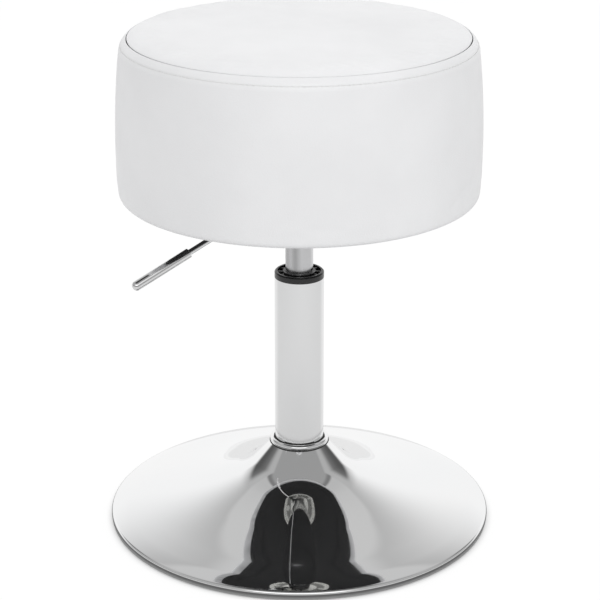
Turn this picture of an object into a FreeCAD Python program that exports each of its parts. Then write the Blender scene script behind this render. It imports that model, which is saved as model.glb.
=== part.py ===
import FreeCAD, Part
import math
import os
import Sketcher

# Swivel bar stool with a gas lift, in millimetres. The column's axis is Z, the floor is z = 0,
# and the side that faces the viewer is -Y. Lever parts are drawn with the lever along +X and
# turned to its place about Z.

# Driving dimensions. Angles are in degrees.
SIZES = {
    # Spun trumpet shell of the base, from the rim inwards
    "shell_wall": 1.5,
    "rim_radius": 196.8,
    "rim_roll": 3.4,
    "rim_widest_height": 6.3,
    "rim_bottom": 1.2,
    "rim_skirt_bow": 22.0,
    "rim_angle": 17.5,
    "brim_inset": 18.8,
    "brim_angle": 10.9,
    "dish_inset": 38.8,
    "sweep_radius": 112.0,
    "sweep_angle": 16.3,
    "throat_radius": 70.0,
    "throat_angle": 27.5,
    "cone_radius": 48.0,
    "cone_angle": 44.8,
    "neck_radius": 29.7,
    "neck_collar": 0.3,
    # Rubber ring that the stool stands on
    "floor_ring_inset": 5.3,
    "floor_ring_width": 7.5,
    "floor_ring_lip": 8.0,
    "floor_ring_chamfer": 1.0,
    "seat_gap": 0.1,
    # Pressed plate under the shell
    "plate_height": 5.0,
    "plate_thickness": 4.0,
    "plate_raise": 6.0,
    "plate_raised_radius": 50.0,
    "plate_step_run": 6.0,
    "plate_bore": 16.0,
    "edge_gap": 0.3,
    # Foot welded into the column tube, with its four bolts
    "foot_radius": 44.0,
    "foot_thickness": 5.0,
    "spigot_height": 9.0,
    "race_recess": 1.0,
    "bolt_circle": 34.0,
    "bolt_count": 4,
    "bolt_radius": 4.0,
    "bolt_head_width": 13.0,
    "bolt_head_height": 5.3,
    "bolt_hole_slack": 0.5,
    "thread_gap": 0.05,
    "washer_radius": 8.5,
    "washer_thickness": 1.4,
    # Column tube, neck ring and guide bush
    "column_radius": 25.0,
    "column_wall": 1.5,
    "neck_ring_radius": 30.2,
    "neck_ring_height": 5.7,
    "neck_ring_corner": 3.0,
    "neck_ring_spigot": 8.0,
    "neck_ring_groove": 1.2,
    "neck_ring_groove_depth": 2.0,
    "neck_ring_groove_lip": 0.5,
    "bush_collar": 6.5,
    "bush_chamfer": 1.2,
    "bush_length": 75.0,
    "bush_sleeve_wall": 3.4,
    "bush_land": 7.0,
    "bush_recess_outer": 22.0,
    "bush_recess_inner": 16.5,
    "bush_recess_depth": 4.5,
    "bush_rib_thickness": 1.6,
    "bush_rib_drop": 1.0,
    "bush_rib_count": 12,
    # Gas spring
    "gas_radius": 14.0,
    "gas_bore": 12.0,
    "gas_length": 264.0,
    "gas_end_wall": 1.5,
    "gas_bottom_lip": 10.5,
    "gas_top_lip": 8.0,
    "taper_length": 36.0,
    "taper_top_radius": 13.05,
    "slide_gap": 0.05,
    "rod_radius": 5.0,
    "rod_neck_radius": 4.0,
    "rod_tip": 8.0,
    "rise_travel": 105.0,
    "rise_spare": 5.0,
    "rod_end": 1.0,
    "guide_height": 8.5,
    "seal_height": 4.0,
    "piston_height": 9.0,
    "piston_ring_height": 2.4,
    "piston_ring_depth": 1.6,
    "nut_width": 13.0,
    "nut_height": 5.0,
    "valve_height": 14.5,
    "pin_radius": 4.0,
    "pin_bore_floor": 12.0,
    "pin_length": 13.3,
    "pin_rise": 5.3,
    "pin_chamfer": 1.0,
    # Thrust bearing at the foot of the rod
    "race_radius": 18.5,
    "race_thickness": 3.0,
    "race_spacing": 3.0,
    "race_bore_gap": 0.5,
    "ball_circle": 13.0,
    "ball_radius": 2.5,
    "ball_count": 8,
    "cage_thickness": 1.2,
    "cage_inner": 9.0,
    "cage_outer": 17.0,
    "bumper_radius": 11.0,
    "bumper_height": 11.7,
    "bumper_gap": 0.3,
    "drop_travel": 25.0,
    "drop_spare": 5.0,
    "clip_radius": 7.5,
    "clip_thickness": 1.2,
    "clip_groove_depth": 0.8,
    "thrust_washer_radius": 9.0,
    "thrust_washer_thickness": 1.2,
    # Seat plate, hub and lever
    "hub_radius": 19.0,
    "hub_height": 50.4,
    "hub_counterbore": 15.5,
    "hub_chamfer": 1.5,
    "hub_slot_width": 12.0,
    "seat_plate_radius": 57.0,
    "seat_plate_corner": 2.0,
    "seat_plate_thickness": 3.0,
    "seat_plate_lip": 3.5,
    "screw_inset": 14.5,
    "screw_radius": 3.0,
    "screw_head_radius": 5.5,
    "screw_head_height": 3.3,
    "screw_gap": 0.3,
    "tee_nut_radius": 9.5,
    "tee_nut_flange": 1.3,
    "tee_nut_barrel": 4.2,
    "tee_nut_depth": 9.0,
    "lever_azimuth": -151.1,
    "lever_drop": 17.9,
    "pivot_reach": 30.0,
    "pivot_radius": 2.0,
    "pivot_overhang": 2.2,
    "pivot_clip_thickness": 0.8,
    "pivot_clip_radius": 4.0,
    "rocker_width": 10.0,
    "rocker_half_height": 5.0,
    "rocker_inner": 22.5,
    "rocker_outer": 52.0,
    "rocker_shoulder": 40.0,
    "rocker_tip": 4.0,
    "nose_half_width": 1.0,
    "rocker_arm_depth": 3.7,
    "rocker_headroom": 0.6,
    "nose_gap": 0.3,
    "nose_drop": 0.7,
    "ear_gap": 0.4,
    "ear_thickness": 2.5,
    "ear_reach": 8.0,
    "ear_drop": 6.0,
    "lever_rod_radius": 3.0,
    "lever_rod_start": 36.0,
    "lever_bend_reach": 67.0,
    "lever_bend_radius": 20.0,
    "lever_droop_angle": 23.0,
    "lever_rod_length": 122.0,
    "grip_radius": 5.0,
    "grip_length": 66.0,
    "grip_end_cap": 4.0,
    "grip_step": 0.6,
    # Upholstered seat: a drum with bellied sides and a low crown
    "seat_radius": 180.0,
    "seat_fillet": 6.0,
    "belly_bow": 803.0,
    "belly_low_tilt": 3.2,
    "shoulder_tilt": 6.8,
    "shoulder_bow": 17.0,
    "seam_tilt": 53.6,
    "crown_edge_inset": 30.0,
    "crown_edge_rise": 3.6,
    "crown_edge_bow": 50.0,
    "crown_rise": 1.4,
    "cover_thickness": 1.0,
    "cover_flap": 20.0,
    "fabric_gap": 0.2,
    "dust_cloth": 0.6,
    "dust_overlap": 12.0,
    "board_inset": 20.0,
    "board_thickness": 15.0,
    "pad_thickness": 20.0,
}


class Size:
    """A length or angle as a number and as the text of an expression over the sheet."""

    def __init__(self, value, text):
        self.value = float(value)
        self.text = text

    def __add__(self, other):
        other = as_size(other)
        return Size(self.value + other.value, f"({self.text} + {other.text})")

    def __sub__(self, other):
        other = as_size(other)
        return Size(self.value - other.value, f"({self.text} - {other.text})")

    def __mul__(self, other):
        other = as_size(other)
        return Size(self.value * other.value, f"({self.text} * {other.text})")

    def __truediv__(self, other):
        other = as_size(other)
        return Size(self.value / other.value, f"({self.text} / {other.text})")

    def __neg__(self):
        return Size(-self.value, f"(0 - {self.text})")


def as_size(value):
    if isinstance(value, Size):
        return value
    return Size(value, repr(value))


def cosine(angle):
    return Size(math.cos(math.radians(angle.value)), f"cos({angle.text} * 1 deg)")


def sine(angle):
    return Size(math.sin(math.radians(angle.value)), f"sin({angle.text} * 1 deg)")


def root(square):
    return Size(math.sqrt(square.value), f"sqrt({square.text})")


def named(alias):
    return Size(SIZES[alias], "Sizes." + alias)


class Arc:
    """A round stretch of an outline: its radius, and +1 where it turns left, -1 where right."""

    def __init__(self, radius, turn):
        self.radius = radius
        self.turn = turn


class Circle:
    """A whole circle in a sketch."""

    def __init__(self, across, along, radius):
        self.across = as_size(across)
        self.along = as_size(along)
        self.radius = radius


doc = FreeCAD.newDocument("stool")
sheet = doc.addObject("Spreadsheet::Sheet", "Sizes")
for row, (alias, value) in enumerate(SIZES.items(), start=1):
    sheet.set(f"A{row}", alias)
    sheet.set(f"B{row}", str(value))
    sheet.setAlias(f"B{row}", alias)
doc.recompute()

ORIGIN = FreeCAD.Vector(0, 0, 0)
UP = FreeCAD.Vector(0, 0, 1)
FULL_TURN = 360
EIGHTH_TURN = 45
HEXAGON_SIDES = 6
ZERO = as_size(0)
sub_parts = []


def new_body(label, azimuth=None):
    """A sub-part, turned about Z by the azimuth if it has one."""
    body = doc.addObject("PartDesign::Body", label)
    body.Label = label
    body.Placement = FreeCAD.Placement(ORIGIN, FreeCAD.Rotation(UP, 0))
    if azimuth is not None:
        body.setExpression("Placement.Rotation.Angle", azimuth.text + " * 1 deg")
    sub_parts.append(body)
    return body


def datum(body, role):
    return next(item for item in body.Origin.OriginFeatures if item.Role == role)


def hold(sketch, constraint, size):
    """Adds a dimension to the sketch and binds it to the sheet."""
    index = sketch.addConstraint(constraint)
    sketch.setExpression(f"Constraints[{index}]", size.text)


def pin_point(sketch, edge, end, across, along):
    """Holds one point of an edge at its two coordinates."""
    for size, axis, kind in ((across, -2, "DistanceX"), (along, -1, "DistanceY")):
        if size is ZERO:
            sketch.addConstraint(Sketcher.Constraint("PointOnObject", edge, end, axis))
        else:
            hold(sketch, Sketcher.Constraint(kind, -1, 1, edge, end, size.value), size)


def arc_edge(start, finish, arc):
    """The arc from start to finish with the radius and turn asked for."""
    chord = finish - start
    half = chord.Length / 2
    rise = math.sqrt(arc.radius.value ** 2 - half ** 2)
    left = FreeCAD.Vector(-chord.y, chord.x, 0).normalize()
    centre = start + chord / 2 + left * (rise * arc.turn)
    middle = centre - left * (arc.radius.value * arc.turn)
    return Part.Arc(start, middle, finish)


def draw_outline(sketch, outline):
    """Draws a closed outline of points, with an Arc between two points where it is round."""
    corners = [item for item in outline if not isinstance(item, Arc)]
    places = [FreeCAD.Vector(x.value, y.value, 0) for x, y in corners]
    arcs = {}
    passed = 0
    for item in outline:
        if isinstance(item, Arc):
            arcs[passed - 1] = item
        else:
            passed += 1
    first = sketch.GeometryCount
    count = len(corners)
    for index in range(count):
        start = places[index]
        finish = places[(index + 1) % count]
        if index in arcs:
            sketch.addGeometry(arc_edge(start, finish, arcs[index]), False)
        else:
            sketch.addGeometry(Part.LineSegment(start, finish), False)
    # An arc that turns right is stored the other way round, so its ends are swapped.
    ends = {}
    for index in range(count):
        swapped = index in arcs and arcs[index].turn < 0
        ends[index] = (2, 1) if swapped else (1, 2)
    for index in range(count):
        after = (index + 1) % count
        joint = (first + index, ends[index][1], first + after, ends[after][0])
        sketch.addConstraint(Sketcher.Constraint("Coincident", *joint))
    for index, (across, along) in enumerate(corners):
        pin_point(sketch, first + index, ends[index][0], across, along)
    for index, arc in arcs.items():
        hold(sketch, Sketcher.Constraint("Radius", first + index, arc.radius.value), arc.radius)


def draw_circle(sketch, circle):
    centre = FreeCAD.Vector(circle.across.value, circle.along.value, 0)
    edge = sketch.addGeometry(Part.Circle(centre, UP, circle.radius.value), False)
    pin_point(sketch, edge, 3, circle.across, circle.along)
    hold(sketch, Sketcher.Constraint("Radius", edge, circle.radius.value), circle.radius)


def new_sketch(body, name, role, loops, offset=ZERO):
    """A sketch on one of the body's own planes, moved along the plane's normal by the offset."""
    sketch = body.newObject("Sketcher::SketchObject", name)
    sketch.AttachmentSupport = [(datum(body, role), "")]
    sketch.MapMode = "FlatFace"
    if offset is not ZERO:
        sketch.setExpression("AttachmentOffset.Base.z", offset.text)
    for loop in loops:
        if isinstance(loop, Circle):
            draw_circle(sketch, loop)
        else:
            draw_outline(sketch, loop)
    return sketch


def turned(body, name, outline):
    """A full turn of an outline (radius, height) about Z."""
    sketch = new_sketch(body, name + "_outline", "XZ_Plane", [outline])
    feature = body.newObject("PartDesign::Revolution", name)
    feature.Profile = sketch
    feature.ReferenceAxis = (sketch, ["V_Axis"])
    feature.Angle = FULL_TURN
    return feature


def padded(body, name, loops, bottom, height):
    """Level loops raised from one height by another."""
    sketch = new_sketch(body, name + "_outline", "XY_Plane", loops, bottom)
    feature = body.newObject("PartDesign::Pad", name)
    feature.Profile = sketch
    feature.setExpression("Length", height.text)
    return feature


def pocketed(body, name, loops, top, depth):
    """Level loops cut downwards from a height."""
    sketch = new_sketch(body, name + "_outline", "XY_Plane", loops, top)
    feature = body.newObject("PartDesign::Pocket", name)
    feature.Profile = sketch
    feature.setExpression("Length", depth.text)
    return feature


def sideways(body, name, loops, width, offset=ZERO):
    """Upright loops in the XZ plane given a width across it, centred on the offset plane."""
    sketch = new_sketch(body, name + "_outline", "XZ_Plane", loops, offset)
    feature = body.newObject("PartDesign::Pad", name)
    feature.Profile = sketch
    feature.setExpression("Length", width.text)
    feature.Midplane = True
    return feature


def repeated(body, name, features, count):
    """Copies features round the Z axis."""
    feature = body.newObject("PartDesign::PolarPattern", name)
    feature.Originals = features
    feature.Axis = (datum(body, "Z_Axis"), [""])
    feature.Angle = FULL_TURN
    feature.setExpression("Occurrences", count.text)
    body.Tip = feature
    return feature


def backwards(outline):
    """The same outline drawn the other way."""
    turned_round = []
    for item in reversed(outline):
        turned_round.append(Arc(item.radius, -item.turn) if isinstance(item, Arc) else item)
    return turned_round


def box(low_x, high_x, low_y, high_y):
    return [(low_x, low_y), (high_x, low_y), (high_x, high_y), (low_x, high_y)]


def ring(inner, outer, low, high):
    """Outline of a plain ring for turning."""
    return [(inner, low), (outer, low), (outer, high), (inner, high)]


def hexagon(across, along, width):
    """Corners of a hexagon with the given width across its flats."""
    corner = width / (cosine(as_size(FULL_TURN / HEXAGON_SIDES / 2)) * 2)
    points = []
    for step in range(HEXAGON_SIDES):
        angle = as_size(step * FULL_TURN / HEXAGON_SIDES)
        points.append((across + corner * cosine(angle), along + corner * sine(angle)))
    return points


# Heights that several pieces share
plate_top = named("plate_height") + named("plate_thickness")
foot_bottom = plate_top + named("plate_raise")
foot_top = foot_bottom + named("foot_thickness")
spigot_top = foot_top + named("spigot_height")
race_bottom = spigot_top - named("race_recess")
lower_race_top = race_bottom + named("race_thickness")
ball_height = lower_race_top + named("race_spacing") / 2
upper_race_bottom = lower_race_top + named("race_spacing")
upper_race_top = upper_race_bottom + named("race_thickness")
bumper_top = upper_race_top + named("bumper_height")
gas_bottom = bumper_top + named("bumper_gap") + named("drop_travel")
guide_top = gas_bottom + named("gas_end_wall") + named("guide_height")
rod_shoulder_top = guide_top + named("seal_height") + named("rise_travel") + named("rise_spare")
piston_top = rod_shoulder_top + named("piston_height")
gas_top = gas_bottom + named("gas_length")
pin_top = gas_top + named("pin_rise")
nose_bottom = pin_top + named("nose_gap")
arm_top = nose_bottom + named("rocker_arm_depth")
seat_plate_bottom = arm_top + named("rocker_headroom")
seat_plate_top = seat_plate_bottom + named("seat_plate_thickness")
board_bottom = seat_plate_top + named("dust_cloth")
board_top = board_bottom + named("board_thickness")
seat_bottom = board_bottom - named("cover_thickness")
hub_bottom = seat_plate_bottom - named("hub_height")
column_top = hub_bottom - named("drop_travel") - named("drop_spare") - named("bush_collar")
lever_height = seat_plate_bottom - named("lever_drop")
azimuth = named("lever_azimuth")

# Radii that several pieces share
floor_ring_outer = named("rim_radius") - named("floor_ring_inset")
floor_ring_inner = floor_ring_outer - named("floor_ring_width")
brim_radius = named("rim_radius") - named("brim_inset")
dish_radius = named("rim_radius") - named("dish_inset")
board_radius = named("seat_radius") - named("board_inset")
flap_radius = board_radius - named("cover_flap")


# Outline of the trumpet at a depth under its polished face, from the neck to the lower edge

rim_angle = named("rim_angle")
brim_angle = named("brim_angle")
sweep_angle = named("sweep_angle")
throat_angle = named("throat_angle")
cone_angle = named("cone_angle")
rim_start_radius = named("rim_radius") - named("rim_roll") + named("rim_roll") * sine(rim_angle)
rim_start_height = named("rim_widest_height") + named("rim_roll") * cosine(rim_angle)
brim_bow = (rim_start_radius - brim_radius) / (sine(rim_angle) - sine(brim_angle))
brim_height = rim_start_height + brim_bow * (cosine(brim_angle) - cosine(rim_angle))
brim_fall = sine(brim_angle) / cosine(brim_angle)
dish_height = brim_height + (brim_radius - dish_radius) * brim_fall
dish_bow = (dish_radius - named("sweep_radius")) / (sine(sweep_angle) - sine(brim_angle))
sweep_height = dish_height + dish_bow * (cosine(brim_angle) - cosine(sweep_angle))
sweep_bow = (named("sweep_radius") - named("throat_radius")) / (sine(throat_angle) - sine(sweep_angle))
throat_height = sweep_height + sweep_bow * (cosine(sweep_angle) - cosine(throat_angle))
throat_bow = (named("throat_radius") - named("cone_radius")) / (sine(cone_angle) - sine(throat_angle))
cone_height = throat_height + throat_bow * (cosine(throat_angle) - cosine(cone_angle))
cone_fall = sine(cone_angle) / cosine(cone_angle)
collar_height = cone_height + (named("cone_radius") - named("neck_radius")) * cone_fall
neck_height = collar_height + named("neck_collar")


def below(radius, height, slope, depth):
    """The point at a depth square to the face."""
    return (radius - depth * sine(slope), height - depth * cosine(slope))


def trumpet(depth):
    skirt = named("rim_skirt_bow")
    skirt_drop = named("rim_widest_height") - named("rim_bottom")
    skirt_reach = root((skirt - depth) * (skirt - depth) - skirt_drop * skirt_drop)
    collar_drop = depth * (as_size(1) - sine(cone_angle)) / cosine(cone_angle)
    return [
        (named("neck_radius") - depth, neck_height),
        (named("neck_radius") - depth, collar_height - collar_drop),
        below(named("cone_radius"), cone_height, cone_angle, depth),
        Arc(throat_bow + depth, 1),
        below(named("throat_radius"), throat_height, throat_angle, depth),
        Arc(sweep_bow + depth, 1),
        below(named("sweep_radius"), sweep_height, sweep_angle, depth),
        Arc(dish_bow + depth, 1),
        below(dish_radius, dish_height, brim_angle, depth),
        below(brim_radius, brim_height, brim_angle, depth),
        Arc(brim_bow - depth, -1),
        below(rim_start_radius, rim_start_height, rim_angle, depth),
        Arc(named("rim_roll") - depth, -1),
        (named("rim_radius") - depth, named("rim_widest_height")),
        Arc(skirt - depth, -1),
        (named("rim_radius") - skirt + skirt_reach, named("rim_bottom")),
    ]


def rim_underside(radius, gap):
    """Height of the shell's underside near the rim, less a gap."""
    bow = brim_bow - named("shell_wall") - gap
    across = radius - (rim_start_radius - brim_bow * sine(rim_angle))
    centre_height = rim_start_height - brim_bow * cosine(rim_angle)
    return centre_height + root(bow * bow - across * across)


# Base


def make_base_shell():
    body = new_body("base_shell")
    turned(body, "shell", trumpet(ZERO) + backwards(trumpet(named("shell_wall"))))


def make_floor_ring():
    body = new_body("floor_ring")
    chamfer = named("floor_ring_chamfer")
    inner = floor_ring_inner
    outer = floor_ring_outer
    lip = inner - named("floor_ring_lip")
    gap = named("seat_gap")
    outline = [
        (lip + chamfer, ZERO),
        (outer - chamfer, ZERO),
        (outer, chamfer),
        (outer, rim_underside(outer, gap)),
        (inner, rim_underside(inner, gap)),
        (inner, named("plate_height")),
        (lip, named("plate_height")),
        (lip, chamfer),
    ]
    turned(body, "rubber", outline)


def make_base_plate():
    body = new_body("base_plate")
    edge = floor_ring_inner - named("edge_gap")
    raised = named("plate_raised_radius")
    step = named("plate_step_run")
    low = named("plate_height")
    lift = named("plate_raise")
    outline = [
        (named("plate_bore"), low + lift),
        (raised, low + lift),
        (raised + step, low),
        (edge, low),
        (edge, plate_top),
        (raised + step, plate_top),
        (raised, foot_bottom),
        (named("plate_bore"), foot_bottom),
    ]
    turned(body, "disc", outline)
    hole = Circle(named("bolt_circle"), ZERO, named("bolt_radius") + named("bolt_hole_slack"))
    cut = pocketed(body, "bolt_hole", [hole], foot_bottom, named("plate_thickness"))
    repeated(body, "bolt_holes", [cut], named("bolt_count"))


def make_column_foot():
    body = new_body("column_foot")
    spigot = named("column_radius") - named("column_wall") - named("seat_gap")
    bore = named("rod_neck_radius") + named("slide_gap")
    recess = named("race_radius") + named("seat_gap")
    outline = [
        (bore, foot_bottom),
        (named("foot_radius"), foot_bottom),
        (named("foot_radius"), foot_top),
        (spigot, foot_top),
        (spigot, spigot_top),
        (recess, spigot_top),
        (recess, race_bottom),
        (bore, race_bottom),
    ]
    turned(body, "foot", outline)
    hole = Circle(named("bolt_circle"), ZERO, named("bolt_radius") + named("thread_gap"))
    cut = pocketed(body, "thread_hole", [hole], foot_top, named("foot_thickness"))
    repeated(body, "thread_holes", [cut], named("bolt_count"))


def make_base_bolts():
    body = new_body("base_bolts")
    head_top = named("plate_height") + named("plate_raise") - named("washer_thickness")
    head_bottom = head_top - named("bolt_head_height")
    head = padded(
        body,
        "head",
        [hexagon(named("bolt_circle"), ZERO, named("bolt_head_width"))],
        head_bottom,
        named("bolt_head_height"),
    )
    shank = padded(
        body,
        "shank",
        [Circle(named("bolt_circle"), ZERO, named("bolt_radius"))],
        head_top,
        foot_top - head_top,
    )
    repeated(body, "bolts", [head, shank], named("bolt_count"))


def make_base_washers():
    body = new_body("base_washers")
    bottom = named("plate_height") + named("plate_raise") - named("washer_thickness")
    loops = [
        Circle(named("bolt_circle"), ZERO, named("washer_radius")),
        Circle(named("bolt_circle"), ZERO, named("bolt_radius") + named("bolt_hole_slack") / 2),
    ]
    washer = padded(body, "washer", loops, bottom, named("washer_thickness"))
    repeated(body, "washers", [washer], named("bolt_count"))


def make_column_tube():
    body = new_body("column_tube")
    outer = named("column_radius")
    turned(body, "tube", ring(outer - named("column_wall"), outer, foot_top, column_top))


def make_neck_ring():
    body = new_body("neck_ring")
    bore = named("column_radius") + named("seat_gap")
    spigot = named("neck_radius") - named("shell_wall") - named("seat_gap")
    outer = named("neck_ring_radius")
    corner = named("neck_ring_corner")
    top = neck_height + named("neck_ring_height")
    outline = [
        (bore, neck_height - named("neck_ring_spigot")),
        (spigot, neck_height - named("neck_ring_spigot")),
        (spigot, neck_height),
        (outer, neck_height),
        (outer, top - corner),
        Arc(corner, 1),
        (outer - corner, top),
        (bore + named("neck_ring_groove"), top - named("neck_ring_groove_lip")),
        (bore, top - named("neck_ring_groove_depth")),
    ]
    turned(body, "ring", outline)


def make_column_bush():
    body = new_body("column_bush")
    bore = named("gas_radius") + named("slide_gap")
    sleeve = named("gas_radius") + named("bush_sleeve_wall")
    land = named("column_radius") - named("column_wall") - named("seat_gap")
    bush_bottom = column_top - named("bush_length")
    top = column_top + named("bush_collar")
    chamfer = named("bush_chamfer")
    recess_floor = top - named("bush_recess_depth")
    outline = [
        (bore, bush_bottom),
        (land, bush_bottom),
        (land, bush_bottom + named("bush_land")),
        (sleeve, bush_bottom + named("bush_land")),
        (sleeve, column_top - named("bush_land")),
        (land, column_top - named("bush_land")),
        (land, column_top),
        (named("column_radius"), column_top),
        (named("column_radius"), top - chamfer),
        (named("column_radius") - chamfer, top),
        (named("bush_recess_outer"), top),
        (named("bush_recess_outer"), recess_floor),
        (named("bush_recess_inner"), recess_floor),
        (named("bush_recess_inner"), top),
        (bore, top),
    ]
    turned(body, "bush", outline)
    half = named("bush_rib_thickness") / 2
    rib_overlap = named("bush_rib_drop") / 2
    inner = named("bush_recess_inner") - rib_overlap
    outer = named("bush_recess_outer") + rib_overlap
    rib_height = named("bush_recess_depth") - named("bush_rib_drop")
    rib = padded(body, "rib", [box(inner, outer, -half, half)], recess_floor, rib_height)
    repeated(body, "ribs", [rib], named("bush_rib_count"))


def make_lower_race():
    body = new_body("bearing_lower_race")
    bore = named("rod_neck_radius") + named("race_bore_gap")
    groove = named("ball_radius") + named("slide_gap")
    half_spacing = named("race_spacing") / 2
    half = root(groove * groove - half_spacing * half_spacing)
    outline = [
        (bore, race_bottom),
        (named("race_radius"), race_bottom),
        (named("race_radius"), lower_race_top),
        (named("ball_circle") + half, lower_race_top),
        Arc(groove, -1),
        (named("ball_circle") - half, lower_race_top),
        (bore, lower_race_top),
    ]
    turned(body, "race", outline)


def make_upper_race():
    body = new_body("bearing_upper_race")
    bore = named("rod_neck_radius") + named("thread_gap")
    groove = named("ball_radius") + named("slide_gap")
    half_spacing = named("race_spacing") / 2
    half = root(groove * groove - half_spacing * half_spacing)
    outline = [
        (bore, upper_race_bottom),
        (named("ball_circle") - half, upper_race_bottom),
        Arc(groove, -1),
        (named("ball_circle") + half, upper_race_bottom),
        (named("race_radius"), upper_race_bottom),
        (named("race_radius"), upper_race_top),
        (bore, upper_race_top),
    ]
    turned(body, "race", outline)


def make_bearing_balls():
    body = new_body("bearing_balls")
    ball = body.newObject("PartDesign::AdditiveSphere", "ball")
    ball.AttachmentSupport = [(datum(body, "XY_Plane"), "")]
    ball.MapMode = "FlatFace"
    ball.setExpression("AttachmentOffset.Base.x", named("ball_circle").text)
    ball.setExpression("AttachmentOffset.Base.z", ball_height.text)
    ball.setExpression("Radius", named("ball_radius").text)
    repeated(body, "balls", [ball], named("ball_count"))


def make_bearing_cage():
    body = new_body("bearing_cage")
    half = named("cage_thickness") / 2
    cage = ring(named("cage_inner"), named("cage_outer"), ball_height - half, ball_height + half)
    turned(body, "cage", cage)
    hole = Circle(named("ball_circle"), ZERO, named("ball_radius") + named("slide_gap"))
    cut = pocketed(body, "ball_hole", [hole], ball_height + half, named("cage_thickness"))
    repeated(body, "ball_holes", [cut], named("ball_count"))


# Rod, which turns on the bearing


def make_piston_rod():
    body = new_body("piston_rod")
    neck = named("rod_neck_radius")
    groove = neck - named("clip_groove_depth")
    clip_top = foot_bottom - named("edge_gap") - named("thrust_washer_thickness")
    clip_bottom = clip_top - named("clip_thickness") - named("slide_gap") * 2
    rod_top = piston_top + named("nut_height") + named("rod_end")
    outline = [
        (ZERO, named("rod_tip")),
        (neck, named("rod_tip")),
        (neck, clip_bottom),
        (groove, clip_bottom),
        (groove, clip_top),
        (neck, clip_top),
        (neck, upper_race_top),
        (named("rod_radius"), upper_race_top),
        (named("rod_radius"), rod_shoulder_top),
        (neck, rod_shoulder_top),
        (neck, rod_top),
        (ZERO, rod_top),
    ]
    turned(body, "rod", outline)


def make_rod_clip():
    body = new_body("rod_clip")
    top = foot_bottom - named("edge_gap") - named("thrust_washer_thickness") - named("slide_gap")
    inner = named("rod_neck_radius") - named("clip_groove_depth") + named("slide_gap")
    turned(body, "clip", ring(inner, named("clip_radius"), top - named("clip_thickness"), top))
    mouth = box(ZERO, named("clip_radius") * 2, -inner, inner)
    pocketed(body, "mouth", [mouth], top, named("clip_thickness"))


def make_thrust_washer():
    body = new_body("thrust_washer")
    top = foot_bottom - named("edge_gap")
    inner = named("rod_neck_radius") + named("slide_gap")
    bottom = top - named("thrust_washer_thickness")
    turned(body, "washer", ring(inner, named("thrust_washer_radius"), bottom, top))


def make_rod_bumper():
    body = new_body("rod_bumper")
    inner = named("rod_radius") + named("slide_gap")
    turned(body, "bumper", ring(inner, named("bumper_radius"), upper_race_top, bumper_top))


def make_piston():
    head = new_body("piston_head")
    bottom = rod_shoulder_top
    top = piston_top
    outer = named("gas_bore") - named("slide_gap") * 2
    bore = named("rod_neck_radius") + named("slide_gap")
    groove = outer - named("piston_ring_depth")
    ring_bottom = bottom + (named("piston_height") - named("piston_ring_height")) / 2
    ring_top = ring_bottom + named("piston_ring_height")
    outline = [
        (bore, bottom),
        (outer, bottom),
        (outer, ring_bottom),
        (groove, ring_bottom),
        (groove, ring_top),
        (outer, ring_top),
        (outer, top),
        (bore, top),
    ]
    turned(head, "head", outline)
    seal = new_body("piston_ring")
    gap = named("slide_gap")
    turned(seal, "seal", ring(groove + gap, named("gas_bore") - gap, ring_bottom + gap, ring_top - gap))
    nut = new_body("piston_nut")
    loops = [hexagon(ZERO, ZERO, named("nut_width")), Circle(ZERO, ZERO, bore)]
    padded(nut, "nut", loops, top, named("nut_height"))


# Gas cylinder, which carries the seat


def make_pressure_tube():
    body = new_body("pressure_tube")
    bottom = gas_bottom
    top = gas_top
    taper_start = top - named("taper_length")
    wall = named("gas_end_wall")
    outline = [
        (named("gas_bottom_lip"), bottom),
        (named("gas_radius"), bottom),
        (named("gas_radius"), taper_start),
        (named("taper_top_radius"), top),
        (named("gas_top_lip"), top),
        (named("gas_top_lip"), top - wall),
        (named("gas_bore"), top - wall),
        (named("gas_bore"), bottom + wall),
        (named("gas_bottom_lip"), bottom + wall),
    ]
    turned(body, "tube", outline)


def make_rod_guide():
    guide = new_body("rod_guide")
    inner = named("rod_radius") + named("slide_gap")
    outer = named("gas_bore") - named("slide_gap")
    bottom = gas_bottom + named("gas_end_wall")
    turned(guide, "guide", ring(inner, outer, bottom, guide_top))
    seal = new_body("rod_seal")
    turned(seal, "seal", ring(inner, outer, guide_top, guide_top + named("seal_height")))


def make_valve():
    valve = new_body("valve_body")
    gap = named("slide_gap")
    shelf = gas_top - named("gas_end_wall")
    bottom = shelf - named("valve_height")
    bore = named("pin_radius") + gap
    floor = gas_top - named("pin_bore_floor")
    outline = [
        (ZERO, bottom),
        (named("gas_bore") - gap, bottom),
        (named("gas_bore") - gap, shelf),
        (named("gas_top_lip") - gap, shelf),
        (named("gas_top_lip") - gap, gas_top),
        (bore, gas_top),
        (bore, floor),
        (ZERO, floor),
    ]
    turned(valve, "valve", outline)
    pin = new_body("release_pin")
    chamfer = named("pin_chamfer")
    outline = [
        (ZERO, pin_top - named("pin_length")),
        (named("pin_radius"), pin_top - named("pin_length")),
        (named("pin_radius"), pin_top - chamfer),
        (named("pin_radius") - chamfer, pin_top),
        (ZERO, pin_top),
    ]
    turned(pin, "pin", outline)


# Seat plate with its hub and the lever's bracket


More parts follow.
